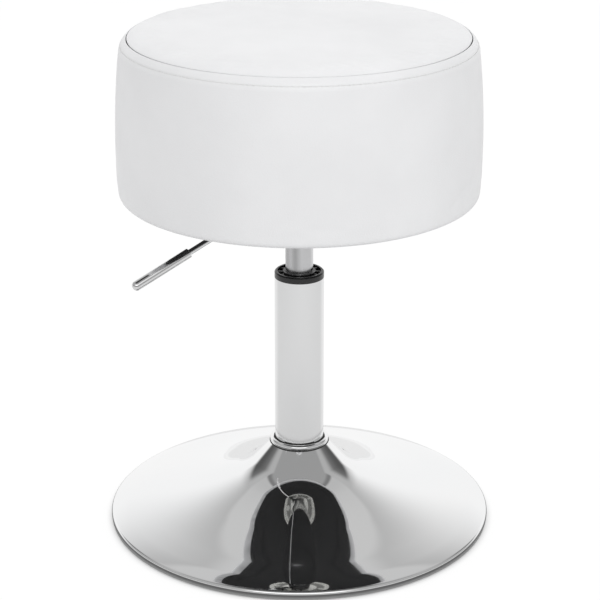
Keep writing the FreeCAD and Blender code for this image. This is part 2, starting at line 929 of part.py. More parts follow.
def make_seat_hub():
    body = new_body("seat_hub", azimuth)
    gap = named("slide_gap")
    top = seat_plate_bottom
    chamfer = named("hub_chamfer")
    shelf = gas_top + named("rocker_headroom")
    outline = [
        (named("gas_radius") + gap, hub_bottom),
        (named("hub_radius") - chamfer, hub_bottom),
        (named("hub_radius"), hub_bottom + chamfer),
        (named("hub_radius"), top),
        (named("hub_counterbore"), top),
        (named("hub_counterbore"), shelf),
        (named("taper_top_radius") + gap, shelf),
        (named("gas_radius") + gap, gas_top - named("taper_length")),
    ]
    turned(body, "hub", outline)
    half = named("hub_slot_width") / 2
    slot_floor = pin_top - (named("pin_rise") + named("nose_gap")) / 2
    slot = box(ZERO, named("hub_radius") * 2, -half, half)
    pocketed(body, "slot", [slot], top, top - slot_floor)


def screw_places():
    """The four places where the seat plate is screwed to the board, clear of the lever."""
    reach = (named("seat_plate_radius") - named("screw_inset")) * sine(as_size(EIGHTH_TURN))
    return [(reach, reach), (-reach, reach), (-reach, -reach), (reach, -reach)]


def make_seat_plate():
    body = new_body("seat_plate", azimuth)
    outer = named("seat_plate_radius")
    wall = named("seat_plate_thickness")
    corner = named("seat_plate_corner")
    lip_bottom = seat_plate_bottom - named("seat_plate_lip")
    outline = [
        (ZERO, seat_plate_bottom),
        (outer - wall, seat_plate_bottom),
        (outer - wall, lip_bottom),
        (outer, lip_bottom),
        (outer, seat_plate_top - corner),
        Arc(corner, 1),
        (outer - corner, seat_plate_top),
        (ZERO, seat_plate_top),
    ]
    turned(body, "plate", outline)
    holes = [Circle(x, y, named("screw_radius") + named("screw_gap")) for x, y in screw_places()]
    pocketed(body, "screw_holes", holes, seat_plate_top, wall)


def make_plate_screws():
    body = new_body("plate_screws", azimuth)
    heads = [Circle(x, y, named("screw_head_radius")) for x, y in screw_places()]
    head_bottom = seat_plate_bottom - named("screw_head_height")
    padded(body, "heads", heads, head_bottom, named("screw_head_height"))
    shanks = [Circle(x, y, named("screw_radius")) for x, y in screw_places()]
    padded(body, "shanks", shanks, seat_plate_bottom, board_top - seat_plate_bottom)


def make_tee_nuts():
    body = new_body("tee_nuts", azimuth)
    inner = named("screw_radius") + named("thread_gap")
    flange_bottom = board_top - named("tee_nut_flange")
    flanges = []
    barrels = []
    for x, y in screw_places():
        flanges += [Circle(x, y, named("tee_nut_radius")), Circle(x, y, inner)]
        barrels += [Circle(x, y, named("tee_nut_barrel")), Circle(x, y, inner)]
    padded(body, "flanges", flanges, flange_bottom, named("tee_nut_flange"))
    barrel_bottom = board_top - named("tee_nut_depth")
    padded(body, "barrels", barrels, barrel_bottom, flange_bottom - barrel_bottom)


def make_bottom_board():
    body = new_body("bottom_board", azimuth)
    gap = named("seat_gap")
    shanks = [Circle(x, y, named("tee_nut_barrel") + gap) for x, y in screw_places()]
    disc = Circle(ZERO, ZERO, board_radius)
    padded(body, "board", [disc] + shanks, board_bottom, named("board_thickness"))
    recesses = [Circle(x, y, named("tee_nut_radius") + gap) for x, y in screw_places()]
    pocketed(body, "nut_recess", recesses, board_top, named("tee_nut_flange"))


ear_inner = named("rocker_width") / 2 + named("ear_gap")
ear_outer = ear_inner + named("ear_thickness")


def make_lever_bracket():
    body = new_body("lever_bracket", azimuth)
    pivot = named("pivot_reach")
    reach = named("ear_reach")
    bottom = lever_height - named("ear_drop")
    outline = [
        (pivot - reach, seat_plate_bottom),
        (pivot - reach, lever_height),
        (pivot - reach / 2, bottom),
        (pivot + reach / 2, bottom),
        (pivot + reach, lever_height),
        (pivot + reach, seat_plate_bottom),
    ]
    hole = Circle(pivot, lever_height, named("pivot_radius") + named("slide_gap"))
    middle = (ear_inner + ear_outer) / 2
    sideways(body, "near_ear", [outline, hole], named("ear_thickness"), middle)
    sideways(body, "far_ear", [outline, hole], named("ear_thickness"), -middle)


def make_pivot_pin():
    pin = new_body("lever_pivot_pin", azimuth)
    centre = (named("pivot_reach"), lever_height)
    length = (ear_outer + named("pivot_overhang")) * 2
    sideways(pin, "pin", [Circle(*centre, named("pivot_radius"))], length)
    clips = new_body("pivot_clips", azimuth)
    loops = [
        Circle(*centre, named("pivot_clip_radius")),
        Circle(*centre, named("pivot_radius") + named("slide_gap")),
    ]
    middle = ear_outer + named("slide_gap") + named("pivot_clip_thickness") / 2
    sideways(clips, "near_clip", loops, named("pivot_clip_thickness"), middle)
    sideways(clips, "far_clip", loops, named("pivot_clip_thickness"), -middle)


# Lever


def make_lever_rocker():
    body = new_body("lever_rocker", azimuth)
    height = lever_height
    half = named("rocker_half_height")
    arm_bottom = nose_bottom + named("nose_drop")
    tip = named("rocker_tip")
    outline = [
        (named("rocker_outer"), height - half),
        (named("rocker_outer"), height + half),
        (named("rocker_shoulder"), height + half),
        (named("pivot_reach"), arm_top),
        (-tip, arm_top),
        (-tip, arm_bottom),
        (-tip / 2, arm_bottom),
        (-named("nose_half_width"), nose_bottom),
        (named("nose_half_width"), nose_bottom),
        (tip / 2, arm_bottom),
        (named("rocker_inner"), arm_bottom),
        (named("rocker_inner"), height - half),
    ]
    bore = Circle(named("pivot_reach"), height, named("pivot_radius") + named("slide_gap"))
    sideways(body, "rocker", [outline, bore], named("rocker_width"))
    socket = new_sketch(
        body,
        "socket_outline",
        "YZ_Plane",
        [Circle(ZERO, height, named("lever_rod_radius") + named("slide_gap"))],
        named("lever_rod_start"),
    )
    cut = body.newObject("PartDesign::Pocket", "socket")
    cut.Profile = socket
    cut.Reversed = True
    cut.setExpression("Length", (named("rocker_outer") - named("lever_rod_start")).text)


droop = named("lever_droop_angle")


def along_droop(distance, rise):
    """The point at a distance down the sloping run of the lever and at a rise square to it."""
    reach = named("lever_bend_reach") + distance * cosine(droop) + rise * sine(droop)
    return (reach, lever_height - distance * sine(droop) + rise * cosine(droop))


def make_lever_rod():
    body = new_body("lever_rod", azimuth)
    bend = named("lever_bend_radius")
    # A bend's tangent length is its radius times the tangent of half the turn.
    tangent = bend * sine(droop) / (cosine(droop) + 1)
    start = (named("lever_rod_start"), lever_height)
    bend_in = (named("lever_bend_reach") - tangent, lever_height)
    bend_out = along_droop(tangent, ZERO)
    end = along_droop(named("lever_rod_length"), ZERO)
    path = new_sketch(body, "rod_path", "XZ_Plane", [])
    points = [FreeCAD.Vector(x.value, y.value, 0) for x, y in (start, bend_in, bend_out, end)]
    path.addGeometry(Part.LineSegment(points[0], points[1]), False)
    path.addGeometry(arc_edge(points[1], points[2], Arc(bend, -1)), False)
    path.addGeometry(Part.LineSegment(points[2], points[3]), False)
    path.addConstraint(Sketcher.Constraint("Coincident", 0, 2, 1, 2))
    path.addConstraint(Sketcher.Constraint("Coincident", 1, 1, 2, 1))
    pin_point(path, 0, 1, *start)
    pin_point(path, 0, 2, *bend_in)
    pin_point(path, 2, 1, *bend_out)
    pin_point(path, 2, 2, *end)
    hold(path, Sketcher.Constraint("Radius", 1, bend.value), bend)
    section = new_sketch(
        body,
        "rod_section",
        "YZ_Plane",
        [Circle(ZERO, lever_height, named("lever_rod_radius"))],
        named("lever_rod_start"),
    )
    rod = body.newObject("PartDesign::AdditivePipe", "rod")
    rod.Profile = section
    rod.Spine = (path, ["Edge1", "Edge2", "Edge3"])


def make_lever_grip():
    body = new_body("lever_grip", azimuth)
    cap = named("grip_end_cap")
    end = named("lever_rod_length") + cap
    start = end - named("grip_length")
    bore = named("lever_rod_radius") + named("slide_gap")
    outer = named("grip_radius")
    round_end = outer - named("grip_step")
    outline = [
        along_droop(start, bore),
        along_droop(named("lever_rod_length"), bore),
        along_droop(named("lever_rod_length"), ZERO),
        along_droop(end, ZERO),
        along_droop(end, outer - round_end),
        Arc(round_end, 1),
        along_droop(end - round_end, outer),
        along_droop(start + named("grip_step"), outer),
        along_droop(start, outer - named("grip_step")),
    ]
    sketch = new_sketch(body, "grip_outline", "XZ_Plane", [outline])
    places = [along_droop(start, ZERO), along_droop(end, ZERO)]
    ends = [FreeCAD.Vector(x.value, y.value, 0) for x, y in places]
    axis = sketch.addGeometry(Part.LineSegment(*ends), True)
    pin_point(sketch, axis, 1, *places[0])
    pin_point(sketch, axis, 2, *places[1])
    grip = body.newObject("PartDesign::Revolution", "grip")
    grip.Profile = sketch
    grip.ReferenceAxis = (sketch, ["Axis0"])
    grip.Angle = FULL_TURN


# Upholstered drum. Its side is a bottom fillet, a belly and a shoulder, each tangent to the next.

belly_centre = named("seat_radius") - named("belly_bow")
belly_height = seat_bottom + named("seat_fillet")
belly_height = belly_height + (named("belly_bow") - named("seat_fillet")) * sine(named("belly_low_tilt"))
seam_tilt = named("seam_tilt")


def on_belly(bow, tilt):
    return (belly_centre + bow * cosine(tilt), belly_height + bow * sine(tilt))


def seam_point(depth):
    centre = on_belly(named("belly_bow") - named("shoulder_bow"), named("shoulder_tilt"))
    bow = named("shoulder_bow") - depth
    return (centre[0] + bow * cosine(seam_tilt), centre[1] + bow * sine(seam_tilt))


def drum_side(depth):
    """The side at a depth under its face, from the flat underside to the seam."""
    low_tilt = -named("belly_low_tilt")
    fillet = named("seat_fillet")
    flat = on_belly(named("belly_bow") - fillet, low_tilt)[0]
    bow = named("belly_bow") - depth
    return [
        (flat, seat_bottom + depth),
        Arc(fillet - depth, 1),
        on_belly(bow, low_tilt),
        Arc(bow, 1),
        on_belly(bow, named("shoulder_tilt")),
        Arc(named("shoulder_bow") - depth, 1),
        seam_point(depth),
    ]


seam_radius, seam_height = seam_point(ZERO)
crown_edge_height = seam_height + named("crown_edge_rise")
crown_edge = named("seat_radius") - named("crown_edge_inset")
crown_bow = (crown_edge * crown_edge / named("crown_rise") + named("crown_rise")) / 2
foam_depth = named("cover_thickness") + named("fabric_gap")
crown_start = seam_radius - foam_depth * cosine(seam_tilt) - named("fabric_gap")


def crown(depth):
    """The crowned top at a depth, from the seam to the middle."""
    return [
        (crown_start, seam_height - depth),
        Arc(named("crown_edge_bow"), 1),
        (crown_edge, crown_edge_height - depth),
        Arc(crown_bow, 1),
        (ZERO, crown_edge_height + named("crown_rise") - depth),
    ]


pad_bottom = crown_edge_height - named("pad_thickness")


def make_side_cover():
    body = new_body("side_cover")
    wall = named("cover_thickness")
    flap = flap_radius
    outer = [(flap, seat_bottom)] + drum_side(ZERO)
    inner = [(flap, seat_bottom + wall)] + drum_side(wall)
    turned(body, "cover", outer + backwards(inner))


def make_top_cover():
    body = new_body("top_cover")
    turned(body, "cover", crown(ZERO) + backwards(crown(named("cover_thickness"))))


def make_side_foam():
    body = new_body("side_foam")
    inner = board_radius + named("fabric_gap")
    edge = crown_edge + named("fabric_gap")
    outline = [(inner, seat_bottom + foam_depth)] + drum_side(foam_depth)
    outline += [
        (seam_point(foam_depth)[0], seam_height - foam_depth),
        (edge, seam_height - foam_depth),
        (edge, pad_bottom),
        (inner, pad_bottom),
    ]
    turned(body, "foam", outline)


def make_foam_core():
    body = new_body("foam_core")
    outline = ring(ZERO, board_radius, board_top, pad_bottom)
    turned(body, "foam", outline)


def make_top_pad():
    body = new_body("top_pad")
    top = crown_edge_height - foam_depth
    outline = [
        (ZERO, pad_bottom),
        (crown_edge, pad_bottom),
        (crown_edge, top),
        Arc(crown_bow, 1),
        (ZERO, top + named("crown_rise")),
    ]
    turned(body, "foam", outline)


def make_dust_cover():
    body = new_body("dust_cover", azimuth)
    cloth = named("dust_cloth")
    flap = flap_radius
    outer = flap + named("dust_overlap")
    under = seat_bottom
    outline = [
        (ZERO, board_bottom - cloth),
        (flap - cloth, board_bottom - cloth),
        (flap - cloth, under - cloth),
        (outer, under - cloth),
        (outer, under),
        (flap, under),
        (flap, board_bottom),
        (ZERO, board_bottom),
    ]
    turned(body, "cloth", outline)
    holes = [Circle(x, y, named("screw_radius") + named("screw_gap")) for x, y in screw_places()]
    pocketed(body, "screw_holes", holes, board_bottom, cloth)


make_floor_ring()
make_base_shell()
make_base_plate()
make_column_foot()
make_base_bolts()
make_base_washers()
make_column_tube()
make_neck_ring()
make_column_bush()
make_lower_race()
make_upper_race()
make_bearing_balls()
make_bearing_cage()
make_piston_rod()
make_rod_clip()
make_thrust_washer()
make_rod_bumper()
make_piston()
make_pressure_tube()
make_rod_guide()
make_valve()
make_seat_hub()
make_seat_plate()
make_plate_screws()
make_tee_nuts()
make_bottom_board()
make_lever_bracket()
make_pivot_pin()
make_lever_rocker()
make_lever_rod()
make_lever_grip()
make_side_cover()
make_top_cover()
make_side_foam()
make_foam_core()
make_top_pad()
make_dust_cover()

doc.recompute()
for item in doc.Objects:
    if "Invalid" in item.State or "Error" in item.State:
        raise RuntimeError(f"{item.Name} did not build: {item.State}")
for body in sub_parts:
    if body.Shape.isNull() or not body.Shape.isValid():
        raise RuntimeError(f"{body.Label} has no valid shape")

os.makedirs("parts", exist_ok=True)
for body in sub_parts:
    body.Shape.exportStep(os.path.join("parts", body.Label + ".step"))
print(f"{len(sub_parts)} sub-parts, total height "
      f"{max(body.Shape.BoundBox.ZMax for body in sub_parts):.1f} mm")
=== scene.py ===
import math

import bmesh
import bpy
import numpy as np
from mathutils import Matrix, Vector


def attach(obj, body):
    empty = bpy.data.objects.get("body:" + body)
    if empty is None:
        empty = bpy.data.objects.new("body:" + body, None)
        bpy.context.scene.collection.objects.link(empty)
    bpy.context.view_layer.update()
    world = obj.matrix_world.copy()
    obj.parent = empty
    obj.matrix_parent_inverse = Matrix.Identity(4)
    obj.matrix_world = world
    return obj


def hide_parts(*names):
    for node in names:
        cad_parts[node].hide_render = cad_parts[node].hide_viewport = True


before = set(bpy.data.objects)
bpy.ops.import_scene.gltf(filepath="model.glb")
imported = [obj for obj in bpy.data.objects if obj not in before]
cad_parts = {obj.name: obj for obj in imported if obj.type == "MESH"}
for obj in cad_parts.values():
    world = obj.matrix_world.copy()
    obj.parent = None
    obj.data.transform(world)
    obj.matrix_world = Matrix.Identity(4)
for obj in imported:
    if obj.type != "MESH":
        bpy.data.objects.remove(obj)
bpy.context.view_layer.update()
MM = 0.001
TURN = 2 * math.pi

# Outlines and meshes

FEWEST_ARC_POINTS = 3
SAME_PLACE, NO_LENGTH = 1e-7, 1e-8


def arc(start, finish, radius, turn, count):
    """Points between start and finish on an arc that turns left (1) or right (-1)."""
    a, b = np.array(start, float), np.array(finish, float)
    chord = b - a
    half = np.linalg.norm(chord) / 2
    rise = math.sqrt(max(radius**2 - half**2, 0.0))
    left = np.array([-chord[1], chord[0]]) / (2 * half)
    centre = a + chord / 2 + left * rise * turn
    first = math.atan2(*(a - centre)[::-1])
    last = math.atan2(*(b - centre)[::-1])
    sweep = (last - first) % TURN if turn > 0 else -((first - last) % TURN)
    angles = first + sweep * np.linspace(0, 1, count + 2)[1:-1]
    return [(centre[0] + radius * math.cos(t), centre[1] + radius * math.sin(t)) for t in angles]


def outline(*items, step):
    """Turns points and ("arc", radius, turn) entries into a dense list of points.

    All lengths are in millimetres; step is about the distance between two points of an arc.
    """
    points = []
    bend = None
    for item in items:
        if item[0] == "arc":
            bend = item
            continue
        if bend is not None:
            count = max(FEWEST_ARC_POINTS, int(math.dist(points[-1], item) / step))
            points += arc(points[-1], item, bend[1], bend[2], count)
            bend = None
        points.append((float(item[0]), float(item[1])))
    return points


def tube_faces(rows, around, first=0, closed=False):
    """Quads between rings of points; closed also joins the last ring to the first."""
    faces = []
    for i in range(rows if closed else rows - 1):
        low, high = first + i * around, first + (i + 1) % rows * around
        for k in range(around):
            after = (k + 1) % around
            faces.append((low + k, low + after, high + after, high + k))
    return faces


def rod_faces(rows, around, first):
    """The quads of a tube and the caps at its two ends."""
    start = tuple(range(first, first + around))
    end = tuple(range(first + (rows - 1) * around, first + rows * around))
    return tube_faces(rows, around, first) + [start[::-1], end]


def lathe(name, profile, steps=192, closed=True, sharp=30):
    """A full turn of a profile of (radius, height) in millimetres about Z."""
    profile = np.array(profile, float) * MM
    angles = np.arange(steps) * TURN / steps
    verts = np.zeros((len(profile), steps, 3))
    verts[..., 0] = profile[:, 0, None] * np.cos(angles)
    verts[..., 1] = profile[:, 0, None] * np.sin(angles)
    verts[..., 2] = profile[:, 1, None]
    faces = tube_faces(len(profile), steps, closed=closed)
    return mesh_object(name, verts.reshape(-1, 3), faces, sharp)


def add_object(name, data):
    item = bpy.data.objects.new(name, data)
    bpy.context.scene.collection.objects.link(item)
    return item


def mesh_object(name, verts, faces, sharp=0):
    mesh = bpy.data.meshes.new(name)
    mesh.from_pydata([tuple(v) for v in verts], [], faces)
    shape = bmesh.new()
    shape.from_mesh(mesh)
    bmesh.ops.remove_doubles(shape, verts=shape.verts, dist=SAME_PLACE)
    bmesh.ops.dissolve_degenerate(shape, edges=shape.edges, dist=NO_LENGTH)
    bmesh.ops.recalc_face_normals(shape, faces=shape.faces)
    shape.to_mesh(mesh)
    shape.free()
    smooth(mesh, sharp)
    return add_object(name, mesh)


def smooth(mesh, sharp=0):
    """Smooth shading; edges that turn by more than sharp degrees stay sharp, at 0 none do."""
    mesh.shade_smooth()
    if sharp:
        mesh.set_sharp_from_angle(angle=math.radians(sharp))


def points_of(mesh):
    co = np.zeros(len(mesh.vertices) * 3)
    mesh.vertices.foreach_get("co", co)
    return co.reshape(-1, 3)


def put_points(mesh, co):
    mesh.vertices.foreach_set("co", np.asarray(co, np.float32).ravel())
    mesh.update()


def evaluated(piece):
    return piece.evaluated_get(bpy.context.evaluated_depsgraph_get())


def divide(piece):
    """One subdivision, applied."""
    modifier = piece.modifiers.new("subdivision", "SUBSURF")
    modifier.levels = modifier.render_levels = 1
    fine = bpy.data.meshes.new_from_object(evaluated(piece))
    piece.modifiers.remove(modifier)
    piece.data = fine
    smooth(fine)


def within(values, limit):
    return np.clip(values, -limit, limit)


# Materials

# Range of a noise factor over which a finish changes
NOISE_SPAN = (0.3, 0.7)
# Heights in metres between which the leather is turned in under the seat, and over which its
# painted shade fades out
UNDERSIDE_SHADE_HEIGHTS = (0.3499, 0.3512)
# Radii in metres between which the seat plate's pressed ring steps down and up again, and between
# which its painted shade lies
RING_INSIDE, RING_OUTSIDE = (0.031, 0.034), (0.047, 0.050)
FINISHES = {}


class Graph:
    """Helpers to write the node tree of a material or world as code."""

    def __init__(self, owner):
        owner.use_nodes = True
        self.tree = owner.node_tree

    def feed(self, socket, source):
        """Links a node's output to a socket, or sets the socket to a plain value."""
        if isinstance(source, bpy.types.NodeSocket):
            self.tree.links.new(source, socket)
        else:
            socket.default_value = source

    def node(self, kind, *sources, **settings):
        """Adds a node. Sources and capitalised settings are inputs, the rest are options."""
        node = self.tree.nodes.new(kind)
        inputs = {key: value for key, value in settings.items() if key[0].isupper()}
        for key, value in settings.items():
            if key not in inputs:
                setattr(node, key, value)
        for index, source in enumerate(sources):
            self.feed(node.inputs[index], source)
        for key, source in inputs.items():
            self.feed(node.inputs[key], source)
        return node

    def math(self, operation, *sources):
        return self.node("ShaderNodeMath", *sources, operation=operation).outputs[0]

    def length(self, vector):
        return self.node("ShaderNodeVectorMath", vector, operation="LENGTH").outputs["Value"]

    def ramp(self, value, span, levels, kind="LINEAR"):
        """Takes a value's change over a span to a change between two levels."""
        node = self.node("ShaderNodeMapRange", value, interpolation_type=kind)
        for key, source in zip(("From Min", "From Max", "To Min", "To Max"), (*span, *levels)):
            self.feed(node.inputs[key], source)
        return node.outputs["Result"]

    def step(self, value, span, levels):
        return self.ramp(value, span, levels, "SMOOTHSTEP")

    def mix(self, share, low, high):
        return self.math("ADD", low, self.math("MULTIPLY", share, self.math("SUBTRACT", high, low)))

    def beyond(self, value, edge, width):
        """How far a value lies past an edge, in widths."""
        over = self.math("MAXIMUM", self.math("SUBTRACT", value, edge), 0.0)
        return self.math("DIVIDE", over, width)

    def shade(self, share, first, second):
        return self.node("ShaderNodeMixShader", share, first, second).outputs[0]

    def rays(self):
        """Factors that are 1 for the camera's rays, and 1 for rays mirrored or let through."""
        path = self.node("ShaderNodeLightPath").outputs
        mirrored = self.math("MAXIMUM", path["Is Glossy Ray"], path["Is Transmission Ray"])
        return path["Is Camera Ray"], mirrored


class Finish(Graph):
    """A Principled material with procedural detail in object coordinates."""

    def __init__(self, key, name, color, roughness, metallic=0.0, sheen=0.0):
        material = bpy.data.materials.new(name)
        super().__init__(material)
        material.diffuse_color = (*color, 1)
        self.shader = self.tree.nodes["Principled BSDF"]
        self.feed(self.shader.inputs["Base Color"], (*color, 1))
        self.feed(self.shader.inputs["Roughness"], roughness)
        self.feed(self.shader.inputs["Metallic"], metallic)
        self.feed(self.shader.inputs["Sheen Weight"], sheen)
        self.where = self.node("ShaderNodeTexCoord").outputs["Object"]
        self.height = None
        FINISHES[key] = material

    def place(self, scale):
        return self.node("ShaderNodeMapping", self.where, Scale=scale).outputs["Vector"]

    def noise(self, scale, detail, stretch=(1, 1, 1), distortion=0.0):
        where = self.place(stretch)
        options = {"Scale": scale, "Detail": detail, "Distortion": distortion}
        return self.node("ShaderNodeTexNoise", where, **options).outputs["Fac"]

    def cells(self, scale, feature="F1"):
        where = self.place((1, 1, 1))
        node = self.node("ShaderNodeTexVoronoi", where, feature=feature, Scale=scale)
        return node.outputs["Distance"]

    def tint(self, factor, low, high, span=NOISE_SPAN):
        """Blends the base colour between two colours by a factor."""
        node = self.node("ShaderNodeMix", data_type="RGBA")
        self.feed(node.inputs["Factor"], self.ramp(factor, span, (0, 1)))
        self.feed(node.inputs["A"], (*low, 1))
        self.feed(node.inputs["B"], (*high, 1))
        result = next(s for s in node.outputs if s.type == "RGBA")
        self.feed(self.shader.inputs["Base Color"], result)

    def rough(self, factor, low, high):
        self.feed(self.shader.inputs["Roughness"], self.ramp(factor, NOISE_SPAN, (low, high)))

    def bump(self, factor, distance, strength):
        """Adds a layer of relief, its depth in metres."""
        node = self.node("ShaderNodeBump", Height=factor, Distance=distance, Strength=strength)
        if self.height is not None:
            self.feed(node.inputs["Normal"], self.height)
        self.height = node.outputs["Normal"]
        self.feed(self.shader.inputs["Normal"], self.height)


def make_leather():
    """White leather, with painted shade that makes it greyer where it is turned in under the seat.
    """
    leather = Finish("leather", "white_leather", (0.84, 0.84, 0.84), 0.42)
    height = leather.node("ShaderNodeSeparateXYZ", leather.where).outputs["Z"]
    # Painted shade: the dark grey low colour stands in for the shade on the leather under the seat
    underside_shade = leather.ramp(height, UNDERSIDE_SHADE_HEIGHTS, (3.2, 0.0))
    shade = leather.math("SUBTRACT", leather.noise(9.0, 3.0), underside_shade)
    leather.tint(shade, (0.40, 0.40, 0.41), (0.868, 0.870, 0.880), (-2.7, 0.7))
    leather.rough(leather.noise(60.0, 3.0), 0.36, 0.46)
    leather.bump(leather.cells(900.0, "SMOOTH_F1"), 0.00025, 0.35)
    leather.bump(leather.noise(2600.0, 2.0), 0.00008, 0.3)
    leather.bump(leather.noise(26.0, 2.0), 0.0006, 0.10)


def make_pressed():
    """Zinc plate with a ring pressed into it, as relief, and as painted shade that darkens the
    pressed-down band between lighter flats.
    """
    pressed = Finish("pressed", "pressed_zinc", (0.60, 0.60, 0.58), 0.26, 1.0)
    radius = pressed.length(pressed.place((1, 1, 0)))
    inner = pressed.ramp(radius, RING_INSIDE, (1.0, 0.0))
    outer = pressed.ramp(radius, RING_OUTSIDE, (0.0, 1.0))
    ring_relief_and_shade = pressed.math("ADD", inner, outer)
    # Painted shade: the pressed-down band gets the dark colour, the flats the light one
    pressed.tint(ring_relief_and_shade, (0.24, 0.24, 0.23), (0.70, 0.70, 0.67), (0.0, 1.0))
    pressed.bump(ring_relief_and_shade, 0.0012, 0.6)
    pressed.rough(pressed.noise(120.0, 3.0), 0.18, 0.34)


def make_nonmetal_finishes():
    thread = Finish("thread", "white_thread", (0.80, 0.80, 0.79), 0.6, sheen=0.2)
    thread.tint(thread.noise(900.0, 2.0), (0.70, 0.70, 0.69), (0.84, 0.84, 0.83))
    thread.bump(thread.noise(4000.0, 1.0, (1, 1, 0.4)), 0.0002, 0.6)

    # Painted shade: the needle holes are darker grey than the leather, for the shade inside them
    needle = Finish("needle", "needle_hole_shade", (0.55, 0.55, 0.55), 0.9)
    needle.tint(needle.noise(3000.0, 2.0), (0.48, 0.48, 0.48), (0.62, 0.62, 0.62))

    plastic = Finish("plastic", "black_plastic", (0.018, 0.018, 0.019), 0.42)
    plastic.rough(plastic.noise(150.0, 3.0), 0.2, 0.34)
    plastic.tint(plastic.noise(30.0, 3.0), (0.014, 0.014, 0.015), (0.024, 0.024, 0.025))
    plastic.bump(plastic.noise(1800.0, 2.0), 0.00008, 0.4)

    rubber = Finish("rubber", "black_rubber", (0.022, 0.022, 0.022), 0.8)
    rubber.tint(rubber.noise(60.0, 4.0), (0.016, 0.016, 0.016), (0.035, 0.035, 0.034))
    rubber.rough(rubber.noise(200.0, 3.0), 0.7, 0.9)
    rubber.bump(rubber.noise(1200.0, 3.0), 0.00012, 0.5)

    wood = Finish("wood", "plywood", (0.58, 0.44, 0.29), 0.7)
    grain = wood.noise(35.0, 4.0, (1, 0.08, 6), distortion=0.4)
    wood.tint(grain, (0.46, 0.33, 0.20), (0.66, 0.52, 0.36))
    wood.bump(wood.noise(500.0, 3.0, (1, 0.1, 1)), 0.0002, 0.4)

    cloth = Finish("cloth", "dust_cloth", (0.014, 0.014, 0.015), 0.92, sheen=0.15)
    cloth.tint(cloth.noise(900.0, 3.0), (0.008, 0.008, 0.009), (0.022, 0.022, 0.023))
    cloth.bump(cloth.cells(620.0), 0.0003, 0.6)
    cloth.bump(cloth.noise(14.0, 3.0), 0.004, 0.25)


def make_metal_finishes():
    chrome = Finish("chrome", "chrome", (0.86, 0.86, 0.865), 0.03, 1.0)
    chrome.rough(chrome.noise(40.0, 3.0), 0.02, 0.055)
    chrome.tint(chrome.noise(5.0, 2.0), (0.845, 0.85, 0.855), (0.875, 0.875, 0.875))

    grip = Finish("grip", "satin_chrome", (0.86, 0.86, 0.865), 0.1, 1.0)
    grip.rough(grip.noise(60.0, 3.0), 0.08, 0.13)
    grip.tint(grip.noise(9.0, 2.0), (0.80, 0.80, 0.805), (0.84, 0.84, 0.84))

    spun = Finish("spun", "spun_chrome", (0.86, 0.86, 0.865), 0.03, 1.0)
    spun.rough(spun.noise(30.0, 3.0), 0.02, 0.05)
    spun.tint(spun.noise(5.0, 2.0), (0.845, 0.85, 0.855), (0.875, 0.875, 0.875))
    spun.bump(spun.noise(11.0, 1.0), 0.0006, 0.12)

    satin = Finish("satin", "satin_steel", (0.62, 0.62, 0.63), 0.25, 1.0)
    # Painted reflection: vertical bands in the steel's colour stand in for the streaks that it
    # mirrors
    painted_reflection_bands = satin.noise(85.0, 1.0, (1, 1, 0.02))
    satin.tint(painted_reflection_bands, (0.46, 0.46, 0.465), (0.70, 0.70, 0.71), (0.38, 0.62))
    satin.rough(satin.noise(160.0, 2.0, (1, 1, 0.02)), 0.22, 0.28)
    satin.bump(satin.noise(900.0, 1.0, (1, 1, 0.03)), 0.00003, 0.15)

    paint = Finish("paint", "black_powder_coat", (0.02, 0.02, 0.021), 0.5)
    paint.tint(paint.noise(40.0, 3.0), (0.016, 0.016, 0.017), (0.028, 0.028, 0.029))
    paint.rough(paint.noise(90.0, 2.0), 0.42, 0.58)
    paint.bump(paint.noise(750.0, 2.0), 0.00012, 0.4)

    zinc = Finish("zinc", "zinc_plate", (0.60, 0.60, 0.58), 0.3, 1.0)
    clouds = zinc.noise(45.0, 4.0, distortion=0.6)
    zinc.tint(clouds, (0.52, 0.53, 0.52), (0.66, 0.66, 0.62))
    zinc.rough(zinc.noise(120.0, 3.0), 0.22, 0.4)
    zinc.bump(zinc.noise(600.0, 2.0), 0.00005, 0.3)

    steel = Finish("steel", "bright_steel", (0.60, 0.60, 0.60), 0.15, 1.0)
    steel.rough(steel.noise(300.0, 3.0), 0.1, 0.22)
    steel.tint(steel.noise(60.0, 2.0), (0.56, 0.56, 0.56), (0.64, 0.64, 0.64))
    steel.bump(steel.noise(1500.0, 1.0), 0.00003, 0.3)

    staple = Finish("staple", "blackened_wire", (0.05, 0.05, 0.05), 0.45, 1.0)
    staple.tint(staple.noise(400.0, 2.0), (0.03, 0.03, 0.03), (0.09, 0.09, 0.09))
    staple.rough(staple.noise(900.0, 2.0), 0.35, 0.6)

    alloy = Finish("alloy", "cast_alloy", (0.68, 0.68, 0.70), 0.38, 1.0)
    alloy.rough(alloy.noise(250.0, 3.0), 0.3, 0.48)
    alloy.tint(alloy.noise(80.0, 3.0), (0.62, 0.62, 0.64), (0.72, 0.72, 0.74))
    alloy.bump(alloy.noise(900.0, 3.0), 0.00008, 0.4)


def paint_piece(piece, finish):
    piece.data.materials.clear()
    piece.data.materials.append(FINISHES[finish])


def mount(piece, body, finish, replaces=()):
    """Gives a piece its finish and body, and the nodes that it stands for."""
    paint_piece(piece, finish)
    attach(piece, body)
    if replaces:
        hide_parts(*replaces)


# Sizes that the looks share, in millimetres

RIM_RADIUS, RIM_ROLL, RIM_WIDEST, RIM_BOTTOM, SKIRT_BOW = 196.8, 3.4, 6.3, 1.2, 22.0
RIM_ANGLE = math.radians(17.5)
# Radius and slope in degrees where each bend of the trumpet ends, from the brim inwards, and
# whether it is hollow (1), straight (0) or domed (-1) as seen from above
BENDS = [(178.0, 11.3, -1), (158.0, 11.3, 0), (112.0, 16.3, 1), (70.0, 26.0, 1), (48.0, 46.3, 1)]
NECK_RADIUS, NECK_COLLAR, SHELL_WALL = 29.7, 0.3, 1.5

